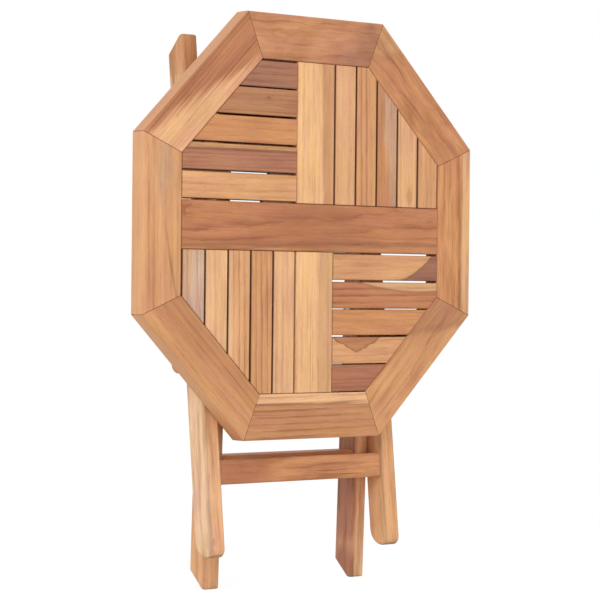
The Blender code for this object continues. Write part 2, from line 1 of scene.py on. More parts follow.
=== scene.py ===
import json
import logging
import math
from dataclasses import dataclass, field
from enum import Enum
from typing import Callable, Optional, Sequence, Union

import bmesh
import bpy
from mathutils import Matrix, Vector


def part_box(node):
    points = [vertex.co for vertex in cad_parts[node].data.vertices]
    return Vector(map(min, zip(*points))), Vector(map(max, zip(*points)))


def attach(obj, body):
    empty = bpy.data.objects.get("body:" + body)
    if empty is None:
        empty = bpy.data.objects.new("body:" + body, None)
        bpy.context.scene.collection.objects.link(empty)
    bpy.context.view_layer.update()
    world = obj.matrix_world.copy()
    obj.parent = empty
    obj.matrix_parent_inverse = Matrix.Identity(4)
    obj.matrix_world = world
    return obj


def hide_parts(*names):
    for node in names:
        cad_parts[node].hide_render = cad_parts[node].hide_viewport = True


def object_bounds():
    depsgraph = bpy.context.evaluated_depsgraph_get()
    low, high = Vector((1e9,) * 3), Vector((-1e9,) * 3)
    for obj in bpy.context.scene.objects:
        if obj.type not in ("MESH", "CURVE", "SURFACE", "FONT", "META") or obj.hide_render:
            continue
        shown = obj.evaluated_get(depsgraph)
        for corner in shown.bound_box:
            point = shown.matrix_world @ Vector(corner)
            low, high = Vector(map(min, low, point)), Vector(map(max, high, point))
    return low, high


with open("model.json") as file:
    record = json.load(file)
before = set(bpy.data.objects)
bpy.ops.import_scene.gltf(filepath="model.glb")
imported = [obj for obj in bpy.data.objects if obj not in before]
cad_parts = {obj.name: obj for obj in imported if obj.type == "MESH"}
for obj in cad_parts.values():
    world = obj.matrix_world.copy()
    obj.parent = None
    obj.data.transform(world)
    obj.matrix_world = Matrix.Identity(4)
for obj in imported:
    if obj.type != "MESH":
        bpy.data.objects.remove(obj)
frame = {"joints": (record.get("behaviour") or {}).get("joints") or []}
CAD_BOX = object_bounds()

log = logging.getLogger("folding_table")

MM = 0.001
MM_PER_METRE = 1000.0
EIGHTH = math.radians(45)
QUARTER = 2 * EIGHTH
FRONT_UP = Matrix.Rotation(QUARTER, 4, "X")  # lays the drawing plane on the top's face
Z_TO_X = Matrix.Rotation(QUARTER, 4, "Y")  # lays what stands along z across the table
NOWHERE = (0.0, 0.0, 0.0)
BOLT_HOLE = 3.3 * MM
INNER_LEAN = math.radians(2.0)
OUTER_LEAN = math.radians(6.3)
OUTER_HEAD_ARM = 287.5 * MM
OUTER_HEAD_ROUND = 10 * MM

Number = Union[int, float]
Colour = tuple[float, float, float]


class Term:
    """A socket of a node tree that can stand in a formula."""

    def __init__(self, sheet: "Sheet", socket: bpy.types.NodeSocket) -> None:
        """Keeps the socket and the sheet that it is drawn on."""
        self.sheet = sheet
        self.socket = socket

    def __add__(self, other: "Operand") -> "Term":
        """Sum."""
        return self.sheet.math("ADD", self, other)

    def __sub__(self, other: "Operand") -> "Term":
        """Difference."""
        return self.sheet.math("SUBTRACT", self, other)

    def __rsub__(self, other: "Operand") -> "Term":
        """Difference from a number."""
        return self.sheet.math("SUBTRACT", other, self)

    def __mul__(self, other: "Operand") -> "Term":
        """Product."""
        return self.sheet.math("MULTIPLY", self, other)

    def __truediv__(self, other: "Operand") -> "Term":
        """Quotient."""
        return self.sheet.math("DIVIDE", self, other)

    def __pow__(self, other: "Operand") -> "Term":
        """Power."""
        return self.sheet.math("POWER", self, other)

    __radd__ = __add__
    __rmul__ = __mul__

    def fraction(self) -> "Term":
        """The part after the decimal point."""
        return self.sheet.math("FRACT", self)

    def size(self) -> "Term":
        """The value without its sign."""
        return self.sheet.math("ABSOLUTE", self)

    def sign(self) -> "Term":
        """Minus one, nought or one."""
        return self.sheet.math("SIGN", self)

    def root(self) -> "Term":
        """Square root."""
        return self.sheet.math("SQRT", self)

    def clamped(self) -> "Term":
        """The value kept between nought and one."""
        return self.sheet.math("ADD", self, 0.0, clamp=True)

    def hump(self) -> "Term":
        """A bell curve that is one at nought and fades either way."""
        return self.sheet.math("EXPONENT", self * self * -1.0)

    def rise(self, low: "Operand", high: "Operand") -> "Term":
        """A smooth step.

        Args:
            low: Where it is still nought.
            high: Where it has reached one.

        Returns:
            The step.
        """
        node = self.sheet.add("ShaderNodeMapRange", interpolation_type="SMOOTHSTEP")
        for name, value in (("Value", self), ("From Min", low), ("From Max", high)):
            self.sheet.feed(node.inputs[name], value)
        return Term(self.sheet, node.outputs["Result"])


Operand = Union[Term, Number]


class Sheet:
    """A node tree, written as formulas."""

    def __init__(self, tree: bpy.types.NodeTree) -> None:
        """Takes an empty or fresh node tree.

        Args:
            tree: The shader or geometry tree to draw in.
        """
        self.tree = tree

    def add(self, kind: str, **settings: object) -> bpy.types.Node:
        """Adds a node and lays it out in columns.

        Args:
            kind: The node's type name.
            **settings: Values for the node's own properties.

        Returns:
            The new node.
        """
        node = self.tree.nodes.new(kind)
        column, row = divmod(len(self.tree.nodes), 9)
        node.location = (column * 190, row * -170)
        for name, value in settings.items():
            setattr(node, name, value)
        return node

    def feed(self, socket: bpy.types.NodeSocket, value: object) -> None:
        """Links a term to an input, or sets the input to a plain value.

        Args:
            socket: The input.
            value: A term, or a value of the input's own kind.
        """
        if isinstance(value, Term):
            self.tree.links.new(value.socket, socket)
        else:
            socket.default_value = value

    def math(self, operation: str, *terms: Operand, clamp: bool = False) -> Term:
        """One Math node.

        Args:
            operation: The node's operation.
            *terms: Its operands.
            clamp: Whether the result is kept between nought and one.

        Returns:
            The result.
        """
        node = self.add("ShaderNodeMath", operation=operation, use_clamp=clamp)
        for socket, value in zip(node.inputs, terms):
            self.feed(socket, value)
        return Term(self, node.outputs[0])

    def vector(self, x: Operand, y: Operand, z: Operand) -> Term:
        """A vector from three values.

        Args:
            x: Its first value.
            y: Its second value.
            z: Its third value.

        Returns:
            The vector.
        """
        node = self.add("ShaderNodeCombineXYZ")
        for socket, value in zip(node.inputs, (x, y, z)):
            self.feed(socket, value)
        return Term(self, node.outputs[0])

    def parts(self, vector: Term) -> tuple[Term, Term, Term]:
        """Takes a vector apart.

        Args:
            vector: The vector.

        Returns:
            Its three values.
        """
        node = self.add("ShaderNodeSeparateXYZ")
        self.feed(node.inputs[0], vector)
        return tuple(Term(self, socket) for socket in node.outputs)

    def mix(self, share: Operand, first: object, second: object, blend: str = "MIX") -> Term:
        """Mixes two colours.

        Args:
            share: How much of the second shows.
            first: A colour or a term.
            second: A colour or a term.
            blend: The Mix node's blend type.

        Returns:
            The mixed colour.
        """
        node = self.add("ShaderNodeMix", data_type="RGBA", blend_type=blend)
        self.feed(node.inputs[0], share)
        self.feed(node.inputs[6], first)
        self.feed(node.inputs[7], second)
        return Term(self, node.outputs[2])

    def grain(self, place: tuple[Term, Term, Term], lengths: tuple[float, float, float],
              seed: Operand, detail: float = 2.0) -> Term:
        """Noise that is drawn out along the wood.

        Args:
            place: Position in the board in millimetres.
            lengths: How long the pattern's cells are each way, in millimetres.
            seed: Which piece of wood it is.
            detail: Octaves of finer noise.

        Returns:
            A value from about -0.5 to 0.5.
        """
        scaled = self.vector(*(part / length for part, length in zip(place, lengths)))
        node = self.add("ShaderNodeTexNoise", noise_dimensions="4D")
        for name, value in (("Vector", scaled), ("W", seed), ("Scale", 1.0), ("Detail", detail)):
            self.feed(node.inputs[name], value)
        return Term(self, node.outputs[0]) - 0.5


def new_group(name: str, kind: str, inputs: Sequence[tuple[str, str, object]],
              outputs: Sequence[tuple[str, str]]) -> tuple[Sheet, dict[str, Term], bpy.types.Node]:
    """Starts a node group with named sockets.

    Args:
        name: The group's name.
        kind: ShaderNodeTree or GeometryNodeTree.
        inputs: Name, socket type and default of each input.
        outputs: Name and socket type of each output.

    Returns:
        The sheet, the inputs as terms and the output node.
    """
    tree = bpy.data.node_groups.new(name, kind)
    for label, socket_type, default in inputs:
        socket = tree.interface.new_socket(label, in_out="INPUT", socket_type=socket_type)
        if default is not None:
            socket.default_value = default
    for label, socket_type in outputs:
        tree.interface.new_socket(label, in_out="OUTPUT", socket_type=socket_type)
    sheet = Sheet(tree)
    entry = sheet.add("NodeGroupInput")
    terms = {label: Term(sheet, entry.outputs[label]) for label, _, _ in inputs}
    return sheet, terms, sheet.add("NodeGroupOutput")


FLOAT = "NodeSocketFloat"
INTEGER = "NodeSocketInt"
VECTOR = "NodeSocketVector"
COLOUR = "NodeSocketColor"
GEOMETRY = "NodeSocketGeometry"
SURFACE = (("Color", COLOUR), ("Roughness", FLOAT), ("Height", FLOAT))
TEAK_INPUTS = (
    ("Position", VECTOR, None), ("Normal", VECTOR, None), ("Edge", FLOAT, 0.0), ("Seed", FLOAT, 0.0),
    ("Light Wood", COLOUR, (0.6, 0.35, 0.18, 1)), ("Dark Wood", COLOUR, (0.4, 0.2, 0.1, 1)),
    ("Pith Across", FLOAT, 60.0), ("Pith Depth", FLOAT, -60.0), ("Ring Spacing", FLOAT, 4.0),
    ("Taper", FLOAT, 0.02), ("Wander", FLOAT, 6.0), ("Ring Strength", FLOAT, 0.5),
    ("Streaks", FLOAT, 0.5), ("Swirl", FLOAT, 0.0), ("Blotch", FLOAT, 0.0),
    ("Zone Wood", COLOUR, (0.7, 0.45, 0.25, 1)), ("Zone Strength", FLOAT, 0.0),
    ("Zone Offset", FLOAT, 0.0), ("Zone Slope", FLOAT, 0.0), ("Zone Bend", FLOAT, 0.0),
    ("Zone Start", FLOAT, -1000.0), ("Zone Side", FLOAT, 1.0), ("Zone Softness", FLOAT, 2.0),
    ("Zone Line", FLOAT, 0.0), ("Zone Reach", FLOAT, 9000.0),
    ("Patch Wood", COLOUR, (0.4, 0.2, 0.1, 1)), ("Patch Strength", FLOAT, 0.0),
    ("Patch Along", FLOAT, 0.0), ("Patch Across", FLOAT, 0.0), ("Patch Long", FLOAT, 30.0),
    ("Patch Wide", FLOAT, 12.0), ("Patch Softness", FLOAT, 0.35), ("Patch Line", FLOAT, 0.0),
    ("Knot Along", FLOAT, 5000.0), ("Knot Across", FLOAT, 0.0), ("Knot Size", FLOAT, 1.0),
    ("Knot Strength", FLOAT, 0.85),
    # The side sockets paint shade by how a face turns across the board: dark in slat gaps, pale on rim
    # sides.
    ("Side Shading Colour", COLOUR, (0.12, 0.055, 0.03, 1)), ("Side Shade", FLOAT, 0.0),
    ("Edge Shade", FLOAT, 0.2),
)


class Mark(Enum):
    """Colours that the figure draws into every board, in linear light."""

    SECOND_DARK = (0.53, 0.42, 0.38, 1.0)
    PATCH_LINE = (0.24, 0.095, 0.04, 1.0)
    ZONE_LINE = (0.23, 0.092, 0.045, 1.0)
    ROSY_CAST = (0.96, 0.84, 0.98, 1.0)
    GOLDEN_CAST = (1.03, 1.03, 0.82, 1.0)
    KNOT_DARK = (0.22, 0.09, 0.045, 1.0)
    KNOT_LIGHT = (0.40, 0.19, 0.09, 1.0)
    KNOT_HALO = (0.28, 0.125, 0.065, 1.0)
    END_GRAIN = (0.19, 0.095, 0.05, 1.0)
    RUBBED_EDGE = (0.16, 0.07, 0.04, 1.0)


class TeakDrawing:
    """The figure of one teak board, drawn as a shader group.

    Lengths are in millimetres, along, across and through the board. The figure goes on in layers:
    growth rings and streaks, a second tone, a patch, a knot, pores, painted side shade and dark arrises.
    """

    def __init__(self) -> None:
        """Starts the group, and lays out the grain so that it parts round the knot."""
        self.sheet, self.given, self.out = new_group("Teak Figure", "ShaderNodeTree", TEAK_INPUTS,
                                                     SURFACE)
        given = self.given
        self.x, self.y, self.z = (part * MM_PER_METRE for part in self.sheet.parts(given["Position"]))
        knot_x = (self.x - given["Knot Along"]) / (given["Knot Size"] * 2.0)
        knot_y = (self.y - given["Knot Across"]) / given["Knot Size"]
        self.knot_distance = (knot_x * knot_x + knot_y * knot_y).root()
        bulge = (self.knot_distance * 0.45).hump()
        self.slow = self.noise(self.y, 150.0, 40.0, 0.0)
        self.sway = self.noise(self.y, 70.0, 26.0, 7.0)
        self.curl = self.noise(self.y, 26.0, 15.0, 9.0)
        parted = self.y - (self.y - given["Knot Across"]) * bulge * 0.7
        self.swirled = parted + given["Swirl"] * self.curl
        self.follow = self.swirled + given["Wander"] * self.slow * 1.5
        self.broad = self.noise(self.follow, 230.0, 7.5, 3.0)
        self.streak = self.noise(self.follow, 150.0, 2.4, 11.0)
        self.fibre = self.noise(self.follow, 24.0, 0.7, 19.0)
        self.late_wood, self.pore_band = self.growth_rings()
        self.darkness = self.ring_and_mottle()

    def noise(self, across: Term, long: float, fine: float, offset: float, detail: float = 2.0) -> Term:
        """Noise that is drawn out along the board.

        Args:
            across: Position across the board, as the grain bends it.
            long: How long the pattern's cells are along the board.
            fine: How long they are across and through it.
            offset: Keeps this noise apart from the board's others.
            detail: Octaves of finer noise.

        Returns:
            A value from about -0.5 to 0.5.
        """
        return self.sheet.grain((self.x, across, self.z), (long, fine, fine),
                                self.given["Seed"] + offset, detail)

    def growth_rings(self) -> tuple[Term, Term]:
        """The years' rings about the pith.

        Returns:
            The late wood, which darkens to the end of each year, and the band of pores that follows.
        """
        given = self.given
        across = self.swirled - given["Pith Across"] + given["Wander"] * self.slow * 2.0
        depth = self.z - given["Pith Depth"] + given["Wander"] * self.sway
        radius = (across * across + depth * depth).root() + given["Taper"] * self.x
        phase = (radius / given["Ring Spacing"] + self.slow * 2.2).fraction()
        return phase ** 4.0, 1.0 - phase.rise(0.0, 0.22)

    def ring_and_mottle(self) -> Term:
        """How much darker or lighter the rings, streaks and blotches make the wood.

        Returns:
            A value about nought, positive where it is dark.
        """
        given = self.given
        cloud = self.noise(self.follow, 75.0, 16.0, 2.0)
        fleck = self.noise(self.follow, 17.0, 1.3, 31.0, 1.0)
        blotch = self.noise(self.y, 36.0, 22.0, 37.0, 3.0)
        ring = (self.late_wood * 0.9 + self.pore_band * 0.25 - 0.27) * given["Ring Strength"]
        faded = ring * (0.6 + self.broad * 3.0 + cloud * 2.0).clamped()
        vein = self.streak.rise(0.12, 0.26) * 0.3
        streaks = self.broad * 0.8 + self.streak * 0.5 + fleck * 0.45 + cloud * 1.1 + vein
        return faded + given["Streaks"] * streaks + given["Blotch"] * blotch

    def second_wood(self, light: Term) -> Term:
        """Another tone of wood in the board's own rings.

        Args:
            light: The tone's light side.

        Returns:
            Its colour.
        """
        dark = self.sheet.mix(1.0, light, Mark.SECOND_DARK.value, "MULTIPLY")
        return self.sheet.mix((0.3 + self.darkness).clamped(), light, dark)

    def zone_distance(self) -> Term:
        """How far each point lies beyond the second tone's line.

        Returns:
            The distance, with the line frayed along the grain.
        """
        given = self.given
        past = self.sheet.math("MAXIMUM", self.x - given["Zone Start"], 0.0)
        return (self.y - given["Zone Offset"] - given["Zone Slope"] * self.x
                - given["Zone Bend"] * past * past
                + given["Zone Softness"] * (self.sway * 1.6 + self.streak * 1.5))

    def with_zone(self, wood: Term, distance: Term) -> Term:
        """Lays the second tone beyond its line.

        Args:
            wood: The colour so far.
            distance: How far each point lies beyond the line.

        Returns:
            The colour.
        """
        given = self.given
        inside = (distance * given["Zone Side"]).rise(given["Zone Softness"] * -0.5,
                                                      given["Zone Softness"] * 0.5)
        return self.sheet.mix(inside * given["Zone Strength"], wood, self.second_wood(given["Zone Wood"]))

    def with_patch(self, wood: Term) -> Term:
        """Lays a ragged diamond of another tone, with its outline.

        Args:
            wood: The colour so far.

        Returns:
            The colour.
        """
        given = self.given
        along = (self.x - given["Patch Along"]) / given["Patch Long"]
        across = (self.y - given["Patch Across"]) / given["Patch Wide"]
        edge = along.size() + across.size() + (self.curl + self.sway + self.broad) * 0.45 - 0.8
        outside = edge.rise(given["Patch Softness"] * -1.0, given["Patch Softness"])
        share = (1.0 - outside) * given["Patch Strength"]
        outline = (edge / (given["Patch Softness"] * 0.6)).hump() * given["Patch Line"]
        patched = self.sheet.mix(share, wood, self.second_wood(given["Patch Wood"]))
        return self.sheet.mix(outline, patched, Mark.PATCH_LINE.value)

    def with_zone_line(self, wood: Term, distance: Term) -> Term:
        """Draws the second tone's line, which fades away from its start.

        Args:
            wood: The colour so far.
            distance: How far each point lies beyond the line.

        Returns:
            The colour.
        """
        given = self.given
        reach = ((self.x - given["Zone Start"]) / given["Zone Reach"]).hump()
        line = (distance / (given["Zone Softness"] * 0.4 + 0.7)).hump() * given["Zone Line"] * reach
        return self.sheet.mix(line, wood, Mark.ZONE_LINE.value)

    def with_casts(self, wood: Term) -> Term:
        """Lets the wood's hue drift, here rosy and there golden.

        Args:
            wood: The colour so far.

        Returns:
            The colour.
        """
        drift = self.noise(self.follow, 60.0, 12.0, 41.0, 1.0)
        rosy = self.sheet.mix((drift * 2.6).clamped(), wood, Mark.ROSY_CAST.value, "MULTIPLY")
        return self.sheet.mix((drift * -2.6).clamped(), rosy, Mark.GOLDEN_CAST.value, "MULTIPLY")

    def with_knot(self, wood: Term) -> Term:
        """Sets the knot in its darker halo.

        Args:
            wood: The colour so far.

        Returns:
            The colour.
        """
        distance, strength = self.knot_distance, self.given["Knot Strength"]
        rings = ((distance * 3.0 + self.slow).fraction() ** 2.0) * 0.4
        knot_wood = self.sheet.mix(rings, Mark.KNOT_DARK.value, Mark.KNOT_LIGHT.value)
        core = 1.0 - (distance + self.streak * 0.8).rise(0.55, 1.15)
        halo = ((distance - 1.1) * 0.9).hump() * strength * 0.35 * (1.0 - core)
        return self.sheet.mix(core * strength, self.sheet.mix(halo, wood, Mark.KNOT_HALO.value), knot_wood)

    def finish(self, wood: Term) -> None:
        """Adds pores, end grain, painted side shade and darkened arrises, and feeds the group's outputs.

        Args:
            wood: The colour so far.
        """
        sheet, given = self.sheet, self.given
        vessel = self.noise(self.follow, 7.0, 0.42, 29.0, 1.0)
        pores = vessel.rise(0.13, 0.2) * (0.35 + self.pore_band * 0.65)
        fine = 1.0 + self.fibre * 0.4 - pores * 0.4
        textured = sheet.mix(1.0, wood, sheet.vector(fine, fine, fine), "MULTIPLY")
        along_normal, across_normal, _ = sheet.parts(given["Normal"])
        end_grain = along_normal.size().rise(0.55, 0.9)
        ended = sheet.mix(end_grain * 0.6, textured, Mark.END_GRAIN.value)
        # Painted shade on the faces that look across the board: dark in the gaps beside slats, and on the
        # rims a paler colour, partly painted light and partly paler wood.
        side = across_normal.size().rise(0.7, 0.98) * given["Side Shade"]
        side_shaded = sheet.mix(side, ended, given["Side Shading Colour"])
        # Darkens the rounded arrises by the edge mask, and makes them a little smoother.
        rubbed = (given["Edge"] * (0.75 + self.streak * 1.5)).clamped()
        roughness = (0.52 + self.fibre * 0.22 + pores * 0.2 + end_grain * 0.12
                     - self.late_wood * 0.05 - rubbed * 0.06)
        height = self.fibre * 0.5 + self.streak * 0.4 - pores * 0.9 - self.late_wood * 0.25
        sheet.feed(self.out.inputs["Color"],
                   sheet.mix(rubbed * given["Edge Shade"], side_shaded, Mark.RUBBED_EDGE.value))
        sheet.feed(self.out.inputs["Roughness"], roughness.clamped())
        sheet.feed(self.out.inputs["Height"], height)

    def draw(self) -> bpy.types.NodeTree:
        """Draws every layer in order.

        Returns:
            The finished group.
        """
        wood = self.sheet.mix((0.34 + self.darkness).clamped(), self.given["Light Wood"],
                              self.given["Dark Wood"])
        distance = self.zone_distance()
        wood = self.with_zone(wood, distance)
        wood = self.with_patch(wood)
        wood = self.with_zone_line(wood, distance)
        wood = self.with_casts(wood)
        wood = self.with_knot(wood)
        self.finish(wood)
        return self.sheet.tree


def build_teak_group() -> bpy.types.NodeTree:
    """The group that every board's material places."""
    return TeakDrawing().draw()


def build_zinc_group() -> bpy.types.NodeTree:
    """Zinc plate with a fine spangle and rubbed scratches.

    Returns:
        The shader group.
    """
    sheet, given, out = new_group(
        "Zinc Plate", "ShaderNodeTree",
        [("Position", VECTOR, None), ("Edge", FLOAT, 0.0), ("Bright", COLOUR, (0.6, 0.6, 0.58, 1)),
         ("Dull", COLOUR, (0.4, 0.4, 0.38, 1)), ("Seed", FLOAT, 0.0)], SURFACE)
    place = tuple(part * MM_PER_METRE for part in sheet.parts(given["Position"]))
    patches = sheet.grain(place, (3.0, 3.0, 3.0), given["Seed"], 3.0)
    scratches = sheet.grain(place, (6.0, 0.25, 0.25), given["Seed"] + 5.0, 2.0)
    worn = (0.5 + patches * 1.6 - given["Edge"] * 0.4).clamped()
    sheet.feed(out.inputs["Color"], sheet.mix(worn, given["Bright"], given["Dull"]))
    sheet.feed(out.inputs["Roughness"], (0.34 + patches * 0.3 + scratches * 0.25).clamped())
    sheet.feed(out.inputs["Height"], scratches * 0.6 + patches * 0.3)
    return sheet.tree


class Tone(Enum):
    """The teak's shades, from sapwood to smoky heartwood, in linear light."""

    SAPWOOD = (0.86, 0.56, 0.34)
    PALE_GOLD = (0.82, 0.465, 0.222)
    HONEY = (0.77, 0.43, 0.222)
    STRAW = (0.725, 0.39, 0.193)
    AMBER = (0.70, 0.355, 0.163)
    PEACH = (0.67, 0.335, 0.155)
    TAN = (0.605, 0.29, 0.128)
    COPPER = (0.605, 0.268, 0.11)
    CEDAR = (0.55, 0.238, 0.103)
    BRICK = (0.53, 0.235, 0.11)
    CHESTNUT = (0.505, 0.202, 0.09)
    MAUVE = (0.44, 0.184, 0.103)
    RUSSET = (0.455, 0.172, 0.077)
    WALNUT = (0.435, 0.191, 0.09)
    COCOA = (0.414, 0.163, 0.087)
    UMBER = (0.36, 0.153, 0.09)
    SMOKE = (0.6, 0.39, 0.262)
    # Not a wood: the painted shade on slats' sides where they face a gap.
    SHADOW = (0.12, 0.055, 0.03)


class Slot(Enum):
    """The names of the part's material slots, which each finish lists but no material takes."""

    GOLDEN = "teak_golden"
    TAN = "teak_tan"
    ORANGE = "teak_orange"
    BROWN = "teak_brown"
    MAUVE = "teak_mauve"
    ZINC = "zinc_steel"


class Side(Enum):
    """The table's left and right, seen from the front."""

    LEFT = "left"
    RIGHT = "right"

    def outward(self) -> int:
        """Which way along x is out of the table."""
        return 1 if self is Side.RIGHT else -1


class End(Enum):
    """The two ends of a leg."""

    HEAD = "head"
    FOOT = "foot"


@dataclass(frozen=True)
class Figure:
    """How a board was sawn from its log, in millimetres.

    The pith lies across and behind the board's middle. Far to the side gives straight lines,
    and close behind gives arches.
    """

    pith_across: float = 70.0
    pith_depth: float = -50.0
    ring_spacing: float = 4.2
    taper: float = 0.02
    wander: float = 6.0
    ring_strength: float = 0.5
    streaks: float = 1.0
    swirl: float = 0.0
    blotch: float = 0.0


@dataclass(frozen=True)
class Zone:
    """A second tone beyond a line across the board, in millimetres.

    The line is y = offset + slope x, and it bends away by bend times the square of how far x
    is past the start. It can be drawn dark, fading with the reach either side of the start.
    """

    tone: Tone
    offset: float = 0.0
    slope: float = 0.0
    bend: float = 0.0
    start: float = 0.0
    below: bool = False
    softness: float = 3.0
    strength: float = 1.0
    line: float = 0.0
    reach: float = 9000.0

    @staticmethod
    def arch(tone: Tone, along: float, across: float, bend: float, **options: float) -> "Zone":
        """A zone above an arch.

        Args:
            tone: The second tone.
            along: Where the arch's crest lies along the board.
            across: Where it lies across the board.
            bend: How sharply it bends.
            **options: The other fields.

        Returns:
            The zone.
        """
        start = -200.0
        offset = across + bend * (along * along - start * start)
        return Zone(tone, offset, 2 * bend * (start - along), bend, start, **options)


@dataclass(frozen=True)
class Knot:
    """A knot's place along and across the board and its half width, in millimetres."""

    along: float
    across: float
    size: float
    strength: float = 0.85


@dataclass(frozen=True)
class Patch:
    """A patch of another tone: its middle and its half sizes, with a dark outline if line is set."""

    tone: Tone
    along: float
    across: float
    long: float
    wide: float
    strength: float = 1.0
    softness: float = 0.35
    line: float = 0.0


@dataclass(frozen=True)
class Placement:
    """Where a piece's own axes lie: x along the grain, y across it and z out of its face."""

    centre: Vector
    turn: Matrix

    @staticmethod
    def on_top(centre: Vector, angle: float) -> "Placement":
        """A board of the top, with its grain at an angle from level, seen from the front."""
        return Placement(centre, FRONT_UP @ Matrix.Rotation(angle, 4, "Z"))


def socket_values(record: object, prefix: str = "") -> dict[str, float]:
    """A record's numbers, under the names of the group's sockets that take them.

    Args:
        record: A figure, zone, patch or knot.
        prefix: What the sockets' names start with.

    Returns:
        The numbers by socket name.
    """
    return {prefix + name.replace("_", " ").title(): value for name, value in vars(record).items()
            if isinstance(value, (int, float)) and not isinstance(value, bool)}


@dataclass(frozen=True)
class TeakFinish:
    """Oiled teak, sawn as its figure says."""

    tone: Tone
    seed: float
    figure: Figure = Figure()
    zone: Optional[Zone] = None
    knot: Optional[Knot] = None
    slot: Slot = Slot.TAN
    # Shade painted on the board's sides in the side tone; rims take a paler tone there, partly painted
    # light.
    side_shade: float = 0.0
    side_tone: Tone = Tone.SHADOW
    patch: Optional[Patch] = None
    edge_shade: float = 0.2
    light_side: Colour = (1.19, 1.25, 1.27)
    dark_side: Colour = (0.63, 0.52, 0.48)
    second_level: float = 0.88

    def opaque(self, tone: Tone, shares: Colour, level: float = 1.0) -> tuple[float, ...]:
        """A tone's light or dark side, as a socket takes it."""
        return (*(part * share * level for part, share in zip(tone.value, shares)), 1.0)

    def material(self, name: str, placement: Placement, group: bpy.types.NodeTree) -> bpy.types.Material:
        """Makes the material of one board.

        Args:
            name: The board's name.
            placement: The board's own axes, which the figure follows.
            group: The teak figure group.

        Returns:
            The material.
        """
        material, sheet, figure = start_material(name, placement, group)
        values = socket_values(self.figure) | {
            "Seed": self.seed, "Light Wood": self.opaque(self.tone, self.light_side),
            "Dark Wood": self.opaque(self.tone, self.dark_side),
            "Side Shading Colour": (*self.side_tone.value, 1.0), "Side Shade": self.side_shade,
            "Edge Shade": self.edge_shade,
        }
        for prefix, second in (("Zone ", self.zone), ("Patch ", self.patch)):
            if second:
                values |= socket_values(second, prefix)
                values[prefix + "Wood"] = self.opaque(second.tone, self.light_side, self.second_level)
        if self.zone:
            values["Zone Side"] = -1.0 if self.zone.below else 1.0
        if self.knot:
            values |= socket_values(self.knot, "Knot ")
        for label, value in values.items():
            figure.inputs[label].default_value = value
        finish_material(sheet, figure, metallic=0.0, specular=0.25, bump_depth=0.0003)
        return material


@dataclass(frozen=True)
class ZincFinish:
    """Zinc plated steel."""

    bright: Colour = (0.62, 0.62, 0.60)
    dull: Colour = (0.42, 0.42, 0.41)
    seed: float = 1.0
    slot: Slot = Slot.ZINC

    def material(self, name: str, placement: Placement, group: bpy.types.NodeTree) -> bpy.types.Material:
        """Makes a fitting's material.

        Args:
            name: The fitting's name.
            placement: The fitting's own axes.
            group: The zinc plate group.

        Returns:
            The material.
        """
        material, sheet, plate = start_material(name, placement, group)
        plate.inputs["Bright"].default_value = (*self.bright, 1.0)
        plate.inputs["Dull"].default_value = (*self.dull, 1.0)
        plate.inputs["Seed"].default_value = self.seed
        finish_material(sheet, plate, metallic=1.0, specular=0.5, bump_depth=0.00005)
        return material


Finish = Union[TeakFinish, ZincFinish]


def start_material(name: str, placement: Placement,
                   group: bpy.types.NodeTree) -> tuple[bpy.types.Material, Sheet, bpy.types.Node]:
    """Starts a material with a group fed by the piece's own coordinates.

    Args:
        name: The material's name.
        placement: The piece's own axes.
        group: The shader group to place.

    Returns:
        The material, its sheet and the group node.
    """
    material = bpy.data.materials.new(name)
    material.use_nodes = True
    sheet = Sheet(material.node_tree)
    node = sheet.add("ShaderNodeGroup", node_tree=group)
    coordinates = sheet.add("ShaderNodeTexCoord")
    turn = placement.turn.to_euler()
    for output, label, centre in (("Object", "Position", placement.centre),
                                  ("Normal", "Normal", Vector())):
        if label not in node.inputs:
            continue
        mapping = sheet.add("ShaderNodeMapping", vector_type="TEXTURE")
        mapping.inputs["Location"].default_value = centre
        mapping.inputs["Rotation"].default_value = turn
        sheet.feed(mapping.inputs["Vector"], Term(sheet, coordinates.outputs[output]))
        sheet.feed(node.inputs[label], Term(sheet, mapping.outputs["Vector"]))
    edge = sheet.add("ShaderNodeAttribute", attribute_name="edge")
    sheet.feed(node.inputs["Edge"], Term(sheet, edge.outputs["Fac"]))
    return material, sheet, node


def finish_material(sheet: Sheet, group: bpy.types.Node, metallic: float, specular: float,
                    bump_depth: float) -> None:
    """Feeds a group's colour, roughness and height to the material's shader.

    Args:
        sheet: The material's sheet.
        group: The group node.
        metallic: The shader's metallic value.
        specular: The shader's specular level.
        bump_depth: How deep the relief is, in metres.
    """
    shader = sheet.tree.nodes["Principled BSDF"]
    shader.inputs["Metallic"].default_value = metallic
    shader.inputs["Specular IOR Level"].default_value = specular
    bump = sheet.add("ShaderNodeBump")
    bump.inputs["Strength"].default_value = 0.6
    bump.inputs["Distance"].default_value = bump_depth
    sheet.feed(bump.inputs["Height"], Term(sheet, group.outputs["Height"]))
    for name in ("Color", "Roughness"):
        target = "Base Color" if name == "Color" else name
        sheet.feed(shader.inputs[target], Term(sheet, group.outputs[name]))
    sheet.feed(shader.inputs["Normal"], Term(sheet, bump.outputs["Normal"]))


